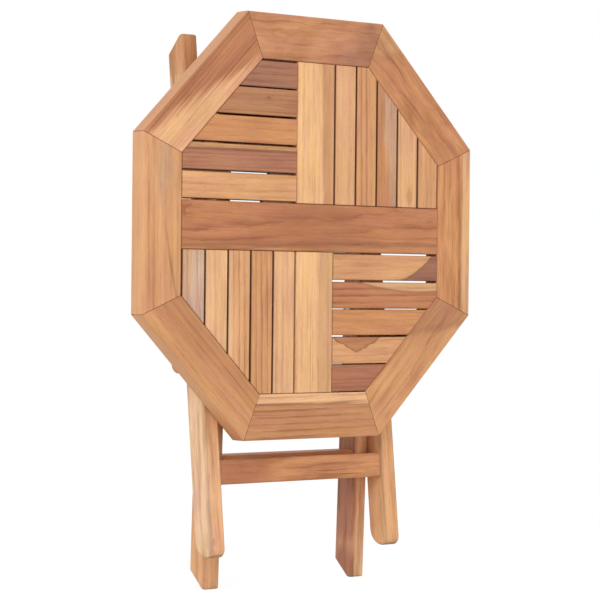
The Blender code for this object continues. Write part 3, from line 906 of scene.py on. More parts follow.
def build_slat_tree() -> bpy.types.NodeTree:
    """Geometry nodes for a board that runs up the drawing plane and ends on the octagon.

    Returns:
        The tree. Its front face lies on the drawing plane.
    """
    sheet, given, out = new_group(
        "Slat", "GeometryNodeTree",
        [("Geometry", GEOMETRY, None), ("Low Side", FLOAT, 0.0), ("High Side", FLOAT, 0.03),
         ("Near End", FLOAT, 0.0), ("Far End", FLOAT, 0.5), ("Octagon", FLOAT, 0.2),
         ("Thickness", FLOAT, 0.02), ("Turn", FLOAT, 0.0)],
        [("Geometry", GEOMETRY)])
    thickness = given["Thickness"]
    cube = sheet.add("GeometryNodeMeshCube")
    sheet.feed(cube.inputs["Size"], sheet.vector(given["High Side"] - given["Low Side"],
                                                 given["Far End"] - given["Near End"], thickness))
    blank = moved(sheet, Term(sheet, cube.outputs["Mesh"]),
                  sheet.vector((given["High Side"] + given["Low Side"]) * 0.5,
                               (given["Near End"] + given["Far End"]) * 0.5, thickness * -0.5))
    prism = sheet.add("GeometryNodeMeshCylinder")
    prism.inputs["Vertices"].default_value = 8
    sheet.feed(prism.inputs["Radius"], given["Octagon"] / math.cos(EIGHTH / 2))
    sheet.feed(prism.inputs["Depth"], thickness * 6.0)
    opening = moved(sheet, Term(sheet, prism.outputs["Mesh"]), NOWHERE, (0.0, 0.0, EIGHTH / 2))
    cut = sheet.add("GeometryNodeMeshBoolean", operation="INTERSECT", solver="EXACT")
    sheet.tree.links.new(blank.socket, cut.inputs["Mesh 2"])
    sheet.tree.links.new(opening.socket, cut.inputs["Mesh 2"])
    stand_up(sheet, Term(sheet, cut.outputs["Mesh"]), given["Turn"], out)
    return sheet.tree


def build_rim_tree() -> bpy.types.NodeTree:
    """Geometry nodes for one mitred rim board, turned to its place round the octagon.

    Returns:
        The tree. Its front face lies on the drawing plane.
    """
    sheet, given, out = new_group(
        "Mitred Rim", "GeometryNodeTree",
        [("Geometry", GEOMETRY, None), ("Inner Radius", FLOAT, 0.2), ("Outer Radius", FLOAT, 0.25),
         ("Mitre Gap", FLOAT, 0.0), ("Thickness", FLOAT, 0.02), ("Turn", FLOAT, 0.0)],
        [("Geometry", GEOMETRY)])
    thickness = given["Thickness"]
    cube = sheet.add("GeometryNodeMeshCube")
    wide = given["Outer Radius"] - given["Inner Radius"]
    sheet.feed(cube.inputs["Size"], sheet.vector(1.0, wide, thickness))
    blank = moved(sheet, Term(sheet, cube.outputs["Mesh"]),
                  sheet.vector(0.0, given["Inner Radius"] + wide * 0.5, thickness * -0.5))
    position = sheet.add("GeometryNodeInputPosition")
    x, y, z = sheet.parts(Term(sheet, position.outputs[0]))
    half_length = y * math.tan(EIGHTH / 2) - given["Mitre Gap"] / math.cos(EIGHTH / 2)
    mitre = sheet.add("GeometryNodeSetPosition")
    sheet.feed(mitre.inputs["Geometry"], blank)
    sheet.feed(mitre.inputs["Position"], sheet.vector(x.sign() * half_length, y, z))
    stand_up(sheet, Term(sheet, mitre.outputs["Geometry"]), given["Turn"], out)
    return sheet.tree


def build_screw_tree() -> bpy.types.NodeTree:
    """Geometry nodes for a row of sunk cross-head screws in the table's back.

    Returns:
        The tree.
    """
    sheet, given, out = new_group(
        "Screw Row", "GeometryNodeTree",
        [("Geometry", GEOMETRY, None), ("Count", INTEGER, 2), ("Start", VECTOR, None),
         ("Step", VECTOR, None), ("Head Radius", FLOAT, 0.0035), ("Head Depth", FLOAT, 0.0016)],
        [("Geometry", GEOMETRY)])
    taper, bar_long, bar_wide = 0.6, 1.15, 0.26
    radius = given["Head Radius"]
    cone = sheet.add("GeometryNodeMeshCone")
    cone.inputs["Vertices"].default_value = 20
    sheet.feed(cone.inputs["Radius Top"], radius)
    sheet.feed(cone.inputs["Radius Bottom"], radius * taper)
    sheet.feed(cone.inputs["Depth"], given["Head Depth"])
    carve = sheet.add("GeometryNodeMeshBoolean", operation="DIFFERENCE", solver="EXACT")
    sheet.feed(carve.inputs["Mesh 1"], Term(sheet, cone.outputs["Mesh"]))
    for wide, tall in ((bar_long, bar_wide), (bar_wide, bar_long)):
        bar = sheet.add("GeometryNodeMeshCube")
        sheet.feed(bar.inputs["Size"], sheet.vector(radius * wide, radius * tall, given["Head Depth"]))
        placed = moved(sheet, Term(sheet, bar.outputs["Mesh"]), sheet.vector(0.0, 0.0, given["Head Depth"]))
        sheet.tree.links.new(placed.socket, carve.inputs["Mesh 2"])
    row = sheet.add("GeometryNodeMeshLine")
    sheet.feed(row.inputs["Count"], given["Count"])
    sheet.feed(row.inputs["Start Location"], given["Start"])
    sheet.feed(row.inputs["Offset"], given["Step"])
    copies = sheet.add("GeometryNodeInstanceOnPoints")
    sheet.feed(copies.inputs["Points"], Term(sheet, row.outputs["Mesh"]))
    sheet.feed(copies.inputs["Instance"], Term(sheet, carve.outputs["Mesh"]))
    copies.inputs["Rotation"].default_value = (-QUARTER, math.radians(20), 0.0)
    realised(sheet, Term(sheet, copies.outputs["Instances"]), out)
    return sheet.tree


def moved(sheet: Sheet, geometry: Term, shift: object, turn: Sequence[float] = NOWHERE) -> Term:
    """Moves and turns geometry in a tree.

    Args:
        sheet: The tree's sheet.
        geometry: What is moved.
        shift: A vector or a term.
        turn: Angles about x, y and z.

    Returns:
        The moved geometry.
    """
    node = sheet.add("GeometryNodeTransform")
    sheet.feed(node.inputs["Geometry"], geometry)
    sheet.feed(node.inputs["Translation"], shift)
    node.inputs["Rotation"].default_value = turn
    return Term(sheet, node.outputs["Geometry"])


def stand_up(sheet: Sheet, geometry: Term, turn: Term, out: bpy.types.Node) -> None:
    """Turns a board about the top's centre, then lifts the drawing plane to the top's face.

    Args:
        sheet: The tree's sheet.
        geometry: The board.
        turn: Its turn in the drawing plane.
        out: The tree's output node.
    """
    spun = sheet.add("GeometryNodeTransform")
    sheet.feed(spun.inputs["Geometry"], geometry)
    sheet.feed(spun.inputs["Rotation"], sheet.vector(0.0, 0.0, turn))
    upright = moved(sheet, Term(sheet, spun.outputs["Geometry"]), NOWHERE, (QUARTER, 0.0, 0.0))
    realised(sheet, upright, out)


def realised(sheet: Sheet, geometry: Term, out: bpy.types.Node) -> None:
    """Ends a tree in plain geometry with a material slot.

    Args:
        sheet: The tree's sheet.
        geometry: What the tree has made.
        out: The tree's output node.
    """
    real = sheet.add("GeometryNodeRealizeInstances")
    sheet.feed(real.inputs["Geometry"], geometry)
    painted = sheet.add("GeometryNodeSetMaterial")
    sheet.feed(painted.inputs["Geometry"], Term(sheet, real.outputs["Geometry"]))
    sheet.feed(out.inputs["Geometry"], Term(sheet, painted.outputs["Geometry"]))


def new_object(name: str, data: object) -> bpy.types.Object:
    """Makes an object in the scene.

    Args:
        name: Its name.
        data: Its mesh, lamp or camera.

    Returns:
        The object.
    """
    made = bpy.data.objects.new(name, data)
    bpy.context.scene.collection.objects.link(made)
    return made


def mesh_from_tree(name: str, tree: bpy.types.NodeTree, values: dict[str, object]) -> bpy.types.Mesh:
    """Runs a geometry tree once and keeps its result as a plain mesh.

    Args:
        name: The mesh's name.
        tree: The geometry tree.
        values: The tree's inputs by name.

    Returns:
        The mesh.
    """
    holder = new_object(name, bpy.data.meshes.new(name))
    modifier = holder.modifiers.new("shape", "NODES")
    modifier.node_group = tree
    for item in tree.interface.items_tree:
        if item.in_out == "INPUT" and item.name in values:
            modifier[item.identifier] = values[item.name]
    return plain_mesh(holder)


def plain_mesh(holder: bpy.types.Object) -> bpy.types.Mesh:
    """Turns an object with modifiers into a plain mesh and removes the object.

    Args:
        holder: The object.

    Returns:
        What its modifiers make of its mesh.
    """
    bpy.context.view_layer.update()
    evaluated = holder.evaluated_get(bpy.context.evaluated_depsgraph_get())
    mesh = bpy.data.meshes.new_from_object(evaluated)
    mesh.name = holder.name
    bpy.data.objects.remove(holder, do_unlink=True)
    return mesh


def any_corner(edge: bmesh.types.BMEdge) -> bool:
    """Picks every edge where the surface turns sharply."""
    return edge.is_manifold and edge.calc_face_angle() > math.radians(30)


def runs_along(edge: bmesh.types.BMEdge, direction: Vector) -> bool:
    """Says whether an edge runs along a direction, either way."""
    first, second = (vertex.co for vertex in edge.verts)
    return abs((second - first).normalized().dot(direction)) > 0.999


def kept_mesh(name: str, body: bmesh.types.BMesh) -> bpy.types.Mesh:
    """Writes a working body to a new mesh and frees it.

    Args:
        name: The mesh's name.
        body: The working body.

    Returns:
        The mesh.
    """
    mesh = bpy.data.meshes.new(name)
    body.to_mesh(mesh)
    body.free()
    return mesh


def round_edges(mesh: bpy.types.Mesh, width: float, segments: int,
                picks: Callable[[bmesh.types.BMEdge], bool] = any_corner) -> None:
    """Rounds edges and marks the rounding in the mesh's edge attribute.

    Args:
        mesh: The mesh to round.
        width: How far the rounding reaches from the edge.
        segments: Faces across the rounding.
        picks: Says which edges are rounded.
    """
    body = bmesh.new()
    body.from_mesh(mesh)
    bmesh.ops.remove_doubles(body, verts=body.verts, dist=1e-6)
    bmesh.ops.recalc_face_normals(body, faces=body.faces)
    layer = body.verts.layers.float.get("edge") or body.verts.layers.float.new("edge")
    chosen = [edge for edge in body.edges if picks(edge)]
    result = bmesh.ops.bevel(body, geom=chosen, offset=width, segments=segments, profile=0.5,
                             affect="EDGES", clamp_overlap=True)
    strip = set(result["faces"])
    for vertex in result["verts"]:
        if vertex.is_valid and all(face in strip for face in vertex.link_faces):
            vertex[layer] = 1.0
    body.to_mesh(mesh)
    body.free()


def prism_mesh(name: str, outline: Sequence[tuple[float, float]], thickness: float) -> bpy.types.Mesh:
    """An outline in x and y, made solid about z = 0.

    Args:
        name: The mesh's name.
        outline: Points in order.
        thickness: Size along z.

    Returns:
        The mesh.
    """
    body = bmesh.new()
    corners = [body.verts.new((x, y, -thickness / 2)) for x, y in outline]
    face = body.faces.new(corners)
    raised = bmesh.ops.extrude_face_region(body, geom=[face])
    moving = [item for item in raised["geom"] if isinstance(item, bmesh.types.BMVert)]
    bmesh.ops.translate(body, verts=moving, vec=(0.0, 0.0, thickness))
    bmesh.ops.recalc_face_normals(body, faces=body.faces)
    return kept_mesh(name, body)


def turned_mesh(name: str, profile: Sequence[tuple[float, float]], steps: int = 40) -> bpy.types.Mesh:
    """A profile of (radius, height) points turned about z, closed where it meets the axis.

    Args:
        name: The mesh's name.
        profile: Points from the axis out and back to it, or a closed ring's corners.
        steps: Facets round the axis.

    Returns:
        The mesh.
    """
    body = bmesh.new()
    ring = profile[0][0] > 0
    points = [body.verts.new((radius, 0.0, height)) for radius, height in profile]
    edges = [body.edges.new(pair) for pair in zip(points, points[1:])]
    if ring:
        edges.append(body.edges.new((points[-1], points[0])))
    bmesh.ops.spin(body, geom=points + edges, cent=(0, 0, 0), axis=(0, 0, 1),
                   angle=2 * math.pi, steps=steps, use_merge=True)
    bmesh.ops.remove_doubles(body, verts=body.verts, dist=1e-6)
    bmesh.ops.recalc_face_normals(body, faces=body.faces)
    return kept_mesh(name, body)


def bore_mesh(name: str, radius: float, reach: float) -> bpy.types.Mesh:
    """A plain drill of a radius, which reaches as far either way along z."""
    return turned_mesh(name, [(0.0, reach), (radius, reach), (radius, -reach), (0.0, -reach)])


def rectangle(wide: float, tall: float) -> list[tuple[float, float]]:
    """A rectangle's corners about its middle."""
    return [(-wide / 2, -tall / 2), (wide / 2, -tall / 2), (wide / 2, tall / 2), (-wide / 2, tall / 2)]


def hexagon(radius: float) -> list[tuple[float, float]]:
    """A hexagon's corners about its middle."""
    angles = [math.radians(60) * corner for corner in range(6)]
    return [(radius * math.cos(angle), radius * math.sin(angle)) for angle in angles]


class Carving(Enum):
    """What is done to a mesh with others."""

    CUT_OUT = "DIFFERENCE"
    KEEP_SHARED = "INTERSECT"
    JOIN_ON = "UNION"


def combined(mesh: bpy.types.Mesh, others: Sequence[bpy.types.Mesh],
             carving: Carving) -> bpy.types.Mesh:
    """Cuts meshes out of a mesh, keeps only what they share, or joins them.

    Args:
        mesh: The mesh that is kept.
        others: The cutters, or what is joined on.
        carving: Which of the three.

    Returns:
        The new mesh.
    """
    holder = new_object(mesh.name, mesh)
    cutters = []
    for index, other in enumerate(others):
        cutter = new_object(f"{mesh.name}_cutter_{index}", other)
        boolean = holder.modifiers.new("cut", "BOOLEAN")
        boolean.operation = carving.value
        boolean.solver = "EXACT"
        boolean.object = cutter
        cutters.append(cutter)
    result = plain_mesh(holder)
    for cutter in cutters:
        bpy.data.objects.remove(cutter, do_unlink=True)
    return result


def merged_mesh(name: str, meshes: Sequence[bpy.types.Mesh]) -> bpy.types.Mesh:
    """Several meshes as one, each still a closed shell of its own.

    Args:
        name: The new mesh's name.
        meshes: What goes into it.

    Returns:
        The mesh.
    """
    body = bmesh.new()
    for mesh in meshes:
        body.from_mesh(mesh)
    return kept_mesh(name, body)


def rounded_outline(corners: Sequence[tuple[float, float, float]],
                    steps: int = 14) -> list[tuple[float, float]]:
    """Turns (x, y, radius) corners, listed anticlockwise, into an outline with arcs.

    Args:
        corners: The corners and the radius that each is rounded by.
        steps: Straight pieces in an arc.

    Returns:
        The outline's points.
    """
    outline: list[tuple[float, float]] = []
    for index, (x, y, radius) in enumerate(corners):
        corner = Vector((x, y))
        if radius <= 0:
            outline.append((x, y))
            continue
        before = (Vector(corners[index - 1][:2]) - corner).normalized()
        after = (Vector(corners[(index + 1) % len(corners)][:2]) - corner).normalized()
        half_angle = before.angle(after) / 2
        middle = corner + (before + after).normalized() * (radius / math.sin(half_angle))
        start = corner + before * (radius / math.tan(half_angle)) - middle
        sweep = math.pi - 2 * half_angle
        for step in range(steps + 1):
            point = middle + Matrix.Rotation(sweep * step / steps, 2) @ start
            if not outline or math.dist(point, outline[-1]) > 1e-5:
                outline.append((point.x, point.y))
    return outline


@dataclass
class Workshop:
    """Dresses meshes and sets them on their bodies as finished pieces."""

    teak: bpy.types.NodeTree = field(default_factory=build_teak_group)
    zinc: bpy.types.NodeTree = field(default_factory=build_zinc_group)

    def hand_over(self, mesh: bpy.types.Mesh, body: str, finish: Finish, placement: Placement,
                  nodes: Sequence[str] = ()) -> bpy.types.Object:
        """Shades, paints and places one piece.

        Args:
            mesh: The piece's mesh, in the frame's coordinates.
            body: The CAD body that it rides on.
            finish: Its finish.
            placement: Its own axes, for the finish.
            nodes: The CAD nodes that it stands for.

        Returns:
            The finished object.
        """
        name = mesh.name
        mesh.shade_smooth()
        mesh.set_sharp_from_angle(angle=math.radians(50))
        holder = new_object(name, mesh)
        weighted = holder.modifiers.new("even_shading", "WEIGHTED_NORMAL")
        weighted.weight = 100
        weighted.keep_sharp = True
        final = plain_mesh(holder)
        group = self.zinc if isinstance(finish, ZincFinish) else self.teak
        final.materials.clear()
        final.materials.append(finish.material(name, placement, group))
        piece = new_object(name, final)
        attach(piece, body)
        if nodes:
            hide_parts(*nodes)
        log.info("%s rides on %s with %d faces", piece.name, body, len(final.polygons))
        return piece


def middle_of(node: str) -> Vector:
    """The middle of a CAD node's box."""
    low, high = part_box(node)
    return (low + high) / 2


@dataclass(frozen=True)
class Lip:
    """A sunk strip left along a slat's side, which closes a stretch of the gap beside it.

    Its ends are distances from the table's middle along the slat.
    """

    near: float = 0.0
    far: float = 0.5
    inner_side: bool = False


# The strips that narrow gaps, by slat.
LIPS = {
    "slat_upper_left_1": (Lip(0.0, 63 * MM), Lip(121 * MM), Lip(0.0, 73 * MM, inner_side=True)),
    "slat_upper_left_5": (Lip(),),
    "slat_lower_right_1": (Lip(0.0, 58 * MM, inner_side=True),),
}
# How much further than its solid a slat reaches towards the next one, where the gap is tight.
TIGHT_GAPS = {"slat_upper_left_4": 0.9 * MM, "slat_lower_right_2": 1.1 * MM,
              "slat_lower_right_4": 1.1 * MM, "slat_lower_right_5": 1.2 * MM}


@dataclass
class Tabletop:
    """The octagonal top: eight mitred rims, a centre plank, two mullions and twenty slats."""

    workshop: Workshop
    body: str = "tabletop"
    mitre_gap: float = 0.15 * MM
    end_gap: float = 0.3 * MM
    rim_ease: float = 1.6 * MM
    mitre_ease: float = 0.4 * MM
    slat_ease: float = 1.3 * MM
    lip_root: float = 4 * MM
    lip_wide: float = 1.9 * MM
    lip_thick: float = 6 * MM
    lip_sunk: float = 8 * MM
    rim_names: tuple[str, ...] = ("top", "top_right", "right", "bottom_right",
                                  "bottom", "bottom_left", "left", "top_left")
    quarter_names: tuple[str, ...] = ("upper_right", "upper_left", "lower_left", "lower_right")

    def __post_init__(self) -> None:
        """Takes the top's sizes from the frame."""
        low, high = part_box("rim_right")
        self.inner_radius = low.x
        self.outer_radius = high.x
        self.thickness = high.y - low.y
        self.half_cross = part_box("centre_plank")[1].z
        self.slat_tree = build_slat_tree()
        self.rim_tree = build_rim_tree()

    def build(self) -> None:
        """Makes every board of the top."""
        self.make_rims()
        self.make_cross_boards()
        self.make_slats()

    def make_rims(self) -> None:
        """The mitred boards round the top, clockwise from the upper one."""
        for index, rim_name in enumerate(self.rim_names):
            name = "rim_" + rim_name
            angle = -index * EIGHTH
            turn = FRONT_UP @ Matrix.Rotation(angle, 4, "Z")
            along = turn @ Vector((1, 0, 0))
            mesh = mesh_from_tree(name, self.rim_tree, {
                "Inner Radius": self.inner_radius, "Outer Radius": self.outer_radius,
                "Mitre Gap": self.mitre_gap, "Thickness": self.thickness, "Turn": angle})
            round_edges(mesh, self.rim_ease, 5, lambda edge, along=along: runs_along(edge, along))
            round_edges(mesh, self.mitre_ease, 2)
            radius = (self.inner_radius + self.outer_radius) / 2
            centre = turn @ Vector((0, radius, 0)) + Vector((0, self.thickness / 2, 0))
            self.workshop.hand_over(mesh, self.body, RIM_WOOD[rim_name],
                                    Placement.on_top(centre, angle), [name])

    def board(self, name: str, low: float, high: float, near: float, turn: float,
              finish: TeakFinish, level: bool, lips: Sequence[Lip] = ()) -> None:
        """One board that runs between the cross boards and the rims.

        Args:
            name: The CAD node that it stands for.
            low: Its lower side across the drawing plane.
            high: Its higher side.
            near: Its end nearer the centre.
            turn: The quarter's turn.
            finish: Its finish.
            level: Whether its grain lies level.
            lips: The strips left along its sides.
        """
        values = {"Low Side": low, "High Side": high, "Near End": near, "Far End": 2 * self.outer_radius,
                  "Octagon": self.inner_radius - self.end_gap, "Thickness": self.thickness, "Turn": turn}
        mesh = mesh_from_tree(name, self.slat_tree, values)
        round_edges(mesh, self.slat_ease, 4)
        strips = []
        for lip in lips:
            side = low if lip.inner_side else high
            inward, outward = ((self.lip_wide, self.lip_root) if lip.inner_side
                               else (self.lip_root, self.lip_wide))
            strip = mesh_from_tree(name + "_lip", self.slat_tree, values | {
                "Low Side": side - inward, "High Side": side + outward,
                "Near End": max(lip.near, near), "Far End": lip.far, "Thickness": self.lip_thick})
            strip.transform(Matrix.Translation((0, self.lip_sunk, 0)))
            strips.append(strip)
        if strips:
            mesh = combined(mesh, strips, Carving.JOIN_ON)
        angle = 0.0 if level else QUARTER
        self.workshop.hand_over(mesh, self.body, finish,
                                Placement.on_top(middle_of(name), angle), [name])

    def make_cross_boards(self) -> None:
        """The centre plank and the mullions above and below it."""
        half = self.half_cross
        near = half + self.end_gap
        self.board("centre_plank", -half, half, -self.outer_radius, QUARTER, PLANK_WOOD, True)
        self.board("upper_mullion", -half, half, near, 0.0, UPPER_MULLION_WOOD, False)
        self.board("lower_mullion", -half, half, near, 2 * QUARTER, LOWER_MULLION_WOOD, False)

    def make_slats(self) -> None:
        """Five slats in each quarter, standing and lying by turns."""
        for quarter, quarter_name in enumerate(self.quarter_names):
            level = quarter % 2 == 1
            for number, finish in enumerate(SLAT_WOOD[quarter_name], start=1):
                name = f"slat_{quarter_name}_{number}"
                box_low, box_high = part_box(name)
                sides = (box_low.z, box_high.z) if level else (box_low.x, box_high.x)
                low, high = sorted(abs(side) for side in sides)
                high += TIGHT_GAPS.get(name, 0.0)
                self.board(name, low, high, self.half_cross + self.end_gap,
                           quarter * QUARTER, finish, level, LIPS.get(name, ()))


@dataclass
class Underside:
    """What is screwed under the top: the centre batten, the hinge blocks and the catch blocks."""

    workshop: Workshop
    body: str = "tabletop"
    block_ease: float = 1.2 * MM
    batten_ease: float = 1.8 * MM
    hinge_block_round: float = 10 * MM
    catch_block_round: float = 13 * MM
    bolt_reach: float = 30 * MM
    batten_screws: int = 5
    block_screws: int = 2
    screw_inset: float = 12 * MM
    screw_inset_share: float = 0.12
    screw_sunk: float = 0.5 * MM

    def build(self) -> None:
        """Makes the batten, the blocks and their screws."""
        self.make_batten()
        for side in Side:
            self.make_block("hinge_block_" + side.value, self.hinge_block_round, hinge_place())
            self.make_block("catch_block_" + side.value, self.catch_block_round, None)
        self.make_screws()

    def make_batten(self) -> None:
        """The long batten down the middle of the top's back."""
        low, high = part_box("centre_batten")
        size, middle = high - low, (low + high) / 2
        mesh = prism_mesh("centre_batten", rectangle(size.x, size.z), size.y)
        round_edges(mesh, self.batten_ease, 4)
        mesh.transform(Matrix.Translation(middle) @ FRONT_UP)
        self.workshop.hand_over(mesh, self.body, BATTEN_WOOD, Placement.on_top(middle, QUARTER),
                                ["centre_batten"])

    def make_block(self, name: str, radius: float, bolt: Optional[Vector]) -> None:
        """A block with its two back corners rounded, seen from the side.

        Args:
            name: The CAD node that it stands for.
            radius: The rounding of its back corners.
            bolt: A point on the bolt that it is drilled for, if any.
        """
        low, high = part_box(name)
        outline = rounded_outline([(low.y, low.z, 0.0), (high.y, low.z, radius),
                                   (high.y, high.z, radius), (low.y, high.z, 0.0)])
        mesh = prism_mesh(name, outline, high.x - low.x)
        round_edges(mesh, self.block_ease, 3)
        middle = (low + high) / 2
        mesh.transform(side_view(middle.x))
        if bolt is not None:
            hole = bore_mesh(name + "_hole", BOLT_HOLE, self.bolt_reach)
            hole.transform(Matrix.Translation((middle.x, bolt.y, bolt.z)) @ Z_TO_X)
            mesh = combined(mesh, [hole], Carving.CUT_OUT)
        self.workshop.hand_over(mesh, self.body, BLOCK_WOOD, Placement(middle, Z_TO_X), [name])

    def make_screws(self) -> None:
        """Screws through the batten and the blocks into the boards of the top."""
        tree = build_screw_tree()
        low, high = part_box("centre_batten")
        back = high.y - self.screw_sunk
        rows = [(self.batten_screws, (0.0, back, low.z + self.screw_inset),
                 (0.0, 0.0, (high.z - low.z - 2 * self.screw_inset) / (self.batten_screws - 1)))]
        for side in Side:
            for kind in ("hinge", "catch"):
                low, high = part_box(f"{kind}_block_{side.value}")
                inset = self.screw_inset + (high.z - low.z) * self.screw_inset_share
                middle = (low.x + high.x) / 2
                rows.append((self.block_screws, (middle, high.y - self.screw_sunk, low.z + inset),
                             (0.0, 0.0, high.z - low.z - 2 * inset)))
        meshes = [mesh_from_tree("screws", tree, {"Count": count, "Start": start, "Step": step})
                  for count, start, step in rows]
        mesh = merged_mesh("underside_screws", meshes)
        self.workshop.hand_over(mesh, self.body, ZincFinish(seed=4.0),
                                Placement(Vector(), Matrix.Identity(4)))


def side_view(x: float) -> Matrix:
    """Takes an outline drawn as (back, up) to the plane across the table at x."""
    return Matrix(((0, 0, 1, x), (1, 0, 0, 0), (0, 1, 0, 0), (0, 0, 0, 1)))


def joint_place(name: str) -> Vector:
    """A point on a joint's axis at rest.

    Args:
        name: The joint's name.

    Returns:
        The point.
    """
    for joint in frame["joints"]:
        if joint["name"] == name:
            return Vector(joint["pos_m"])
    raise KeyError(name)


def hinge_place() -> Vector:
    """A point on the axis of the bolts that the top turns on."""
    return joint_place("top_hinge")


@dataclass
class LegFrame:
    """A pair of legs with two rails. Its own x runs from the pivot to the heads, y to the front."""

    workshop: Workshop
    prefix: str
    body: str
    lean: float
    heads_up: bool
    head_arm: float
    head_front_round: float
    leg_finishes: dict[Side, TeakFinish]
    rail_finishes: dict[End, TeakFinish]
    sunk_bolts: tuple[float, ...] = ()
    plain_bolts: tuple[float, ...] = ()
    foot_arm: float = 326.3 * MM
    deep: float = 31 * MM
    foot_flat: float = 7 * MM
    open_tilt: float = math.radians(39.5)
    leg_ease: float = 2.4 * MM
    rail_ease: float = 1.8 * MM
    rail_tall: float = 29 * MM
    rail_deep: float = 22 * MM
    rail_clear: float = 0.3 * MM
    rail_end_ease: float = 0.4 * MM
    counterbore: float = 7.3 * MM
    counterbore_deep: float = 3.7 * MM

    def axes(self) -> Matrix:
        """The frame's own axes at rest.

        Returns:
            The axes, with their origin on the pivot bolts.
        """
        upward = 1 if self.heads_up else -1
        along = Vector((0.0, -math.sin(self.lean), upward * math.cos(self.lean)))
        front = Vector((0.0, -math.cos(self.lean), -upward * math.sin(self.lean)))
        turn = Matrix((along, front, along.cross(front))).transposed().to_4x4()
        return Matrix.Translation(joint_place("scissor")) @ turn

    def build(self) -> None:
        """Makes both legs and both rails."""
        for side in Side:
            self.make_leg(side)
        for end in End:
            self.make_rail(end)

    def leg_outline(self) -> list[tuple[float, float]]:
        """The leg from the side.

        Returns:
            The outline, with the foot's flat and cut and the round of the head.
        """
        half = self.deep / 2
        cut_rise = (self.deep - self.foot_flat) * math.tan(self.open_tilt)
        corners = [(-self.foot_arm, half, 0.0), (-self.foot_arm, half - self.foot_flat, 0.0),
                   (-self.foot_arm + cut_rise, -half, 0.0),
                   (self.head_arm, -half, self.deep - self.head_front_round),
                   (self.head_arm, half, self.head_front_round)]
        return rounded_outline(corners)

    def make_leg(self, side: Side) -> None:
        """One leg, rounded all over and drilled for its bolts.

        Args:
            side: The left or the right one.
        """
        name = f"{self.prefix}_leg_{side.value}"
        low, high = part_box(name)
        wide = high.x - low.x
        mesh = prism_mesh(name, self.leg_outline(), wide)
        round_edges(mesh, self.leg_ease, 5)
        middle = (low.x + high.x) / 2
        outward = Matrix.Rotation(side.outward() * QUARTER, 4, "Y")
        axes = self.axes()
        across = axes.to_3x3() @ Vector((0, 0, 1))
        place = axes @ Matrix.Translation((0, 0, middle * across.x))
        mesh.transform(place)
        cutters = []
        for along in self.sunk_bolts + self.plain_bolts:
            hole = self.bolt_hole(name + "_hole", wide, along in self.sunk_bolts)
            hole.transform(Matrix.Translation(place @ Vector((along, 0, 0))) @ outward)
            cutters.append(hole)
        mesh = combined(mesh, cutters, Carving.CUT_OUT)
        turn = axes.to_3x3().to_4x4() @ Matrix.Rotation(-QUARTER, 4, "X")
        self.workshop.hand_over(mesh, self.body, self.leg_finishes[side],
                                Placement(place.to_translation(), turn), [name])

    def bolt_hole(self, name: str, wide: float, sunk: bool) -> bpy.types.Mesh:
        """The drill for one bolt, along z, which points out of the table.

        Args:
            name: The mesh's name.
            wide: The leg's width.
            sunk: Whether the bolt's head is sunk in the leg.

        Returns:
            The drill's mesh.
        """
        if not sunk:
            return bore_mesh(name, BOLT_HOLE, wide)
        floor = wide / 2 - self.counterbore_deep
        return turned_mesh(name, [(0.0, wide), (self.counterbore, wide), (self.counterbore, floor),
                                  (BOLT_HOLE, floor), (BOLT_HOLE, -wide), (0.0, -wide)])

    def make_rail(self, end: End) -> None:
        """One rail, between the legs.

        Args:
            end: The head's or the foot's.
        """
        name = f"{self.prefix}_{end.value}_rail"
        left, right = (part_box(f"{self.prefix}_leg_{side.value}") for side in Side)
        between = right[0].x - left[1].x - 2 * self.rail_clear
        mesh = prism_mesh(name, rectangle(self.rail_tall, self.rail_deep), between)
        length = Vector((0, 0, 1))
        round_edges(mesh, self.rail_ease, 4, lambda edge: any_corner(edge) and runs_along(edge, length))
        round_edges(mesh, self.rail_end_ease, 2)
        turn = self.axes().to_3x3().to_4x4()
        mesh.transform(Matrix.Translation(middle_of(name)) @ turn)
        grain = turn @ Matrix.Rotation(-QUARTER, 4, "Y")
        self.workshop.hand_over(mesh, self.body, self.rail_finishes[end],
                                Placement(middle_of(name), grain), [name])


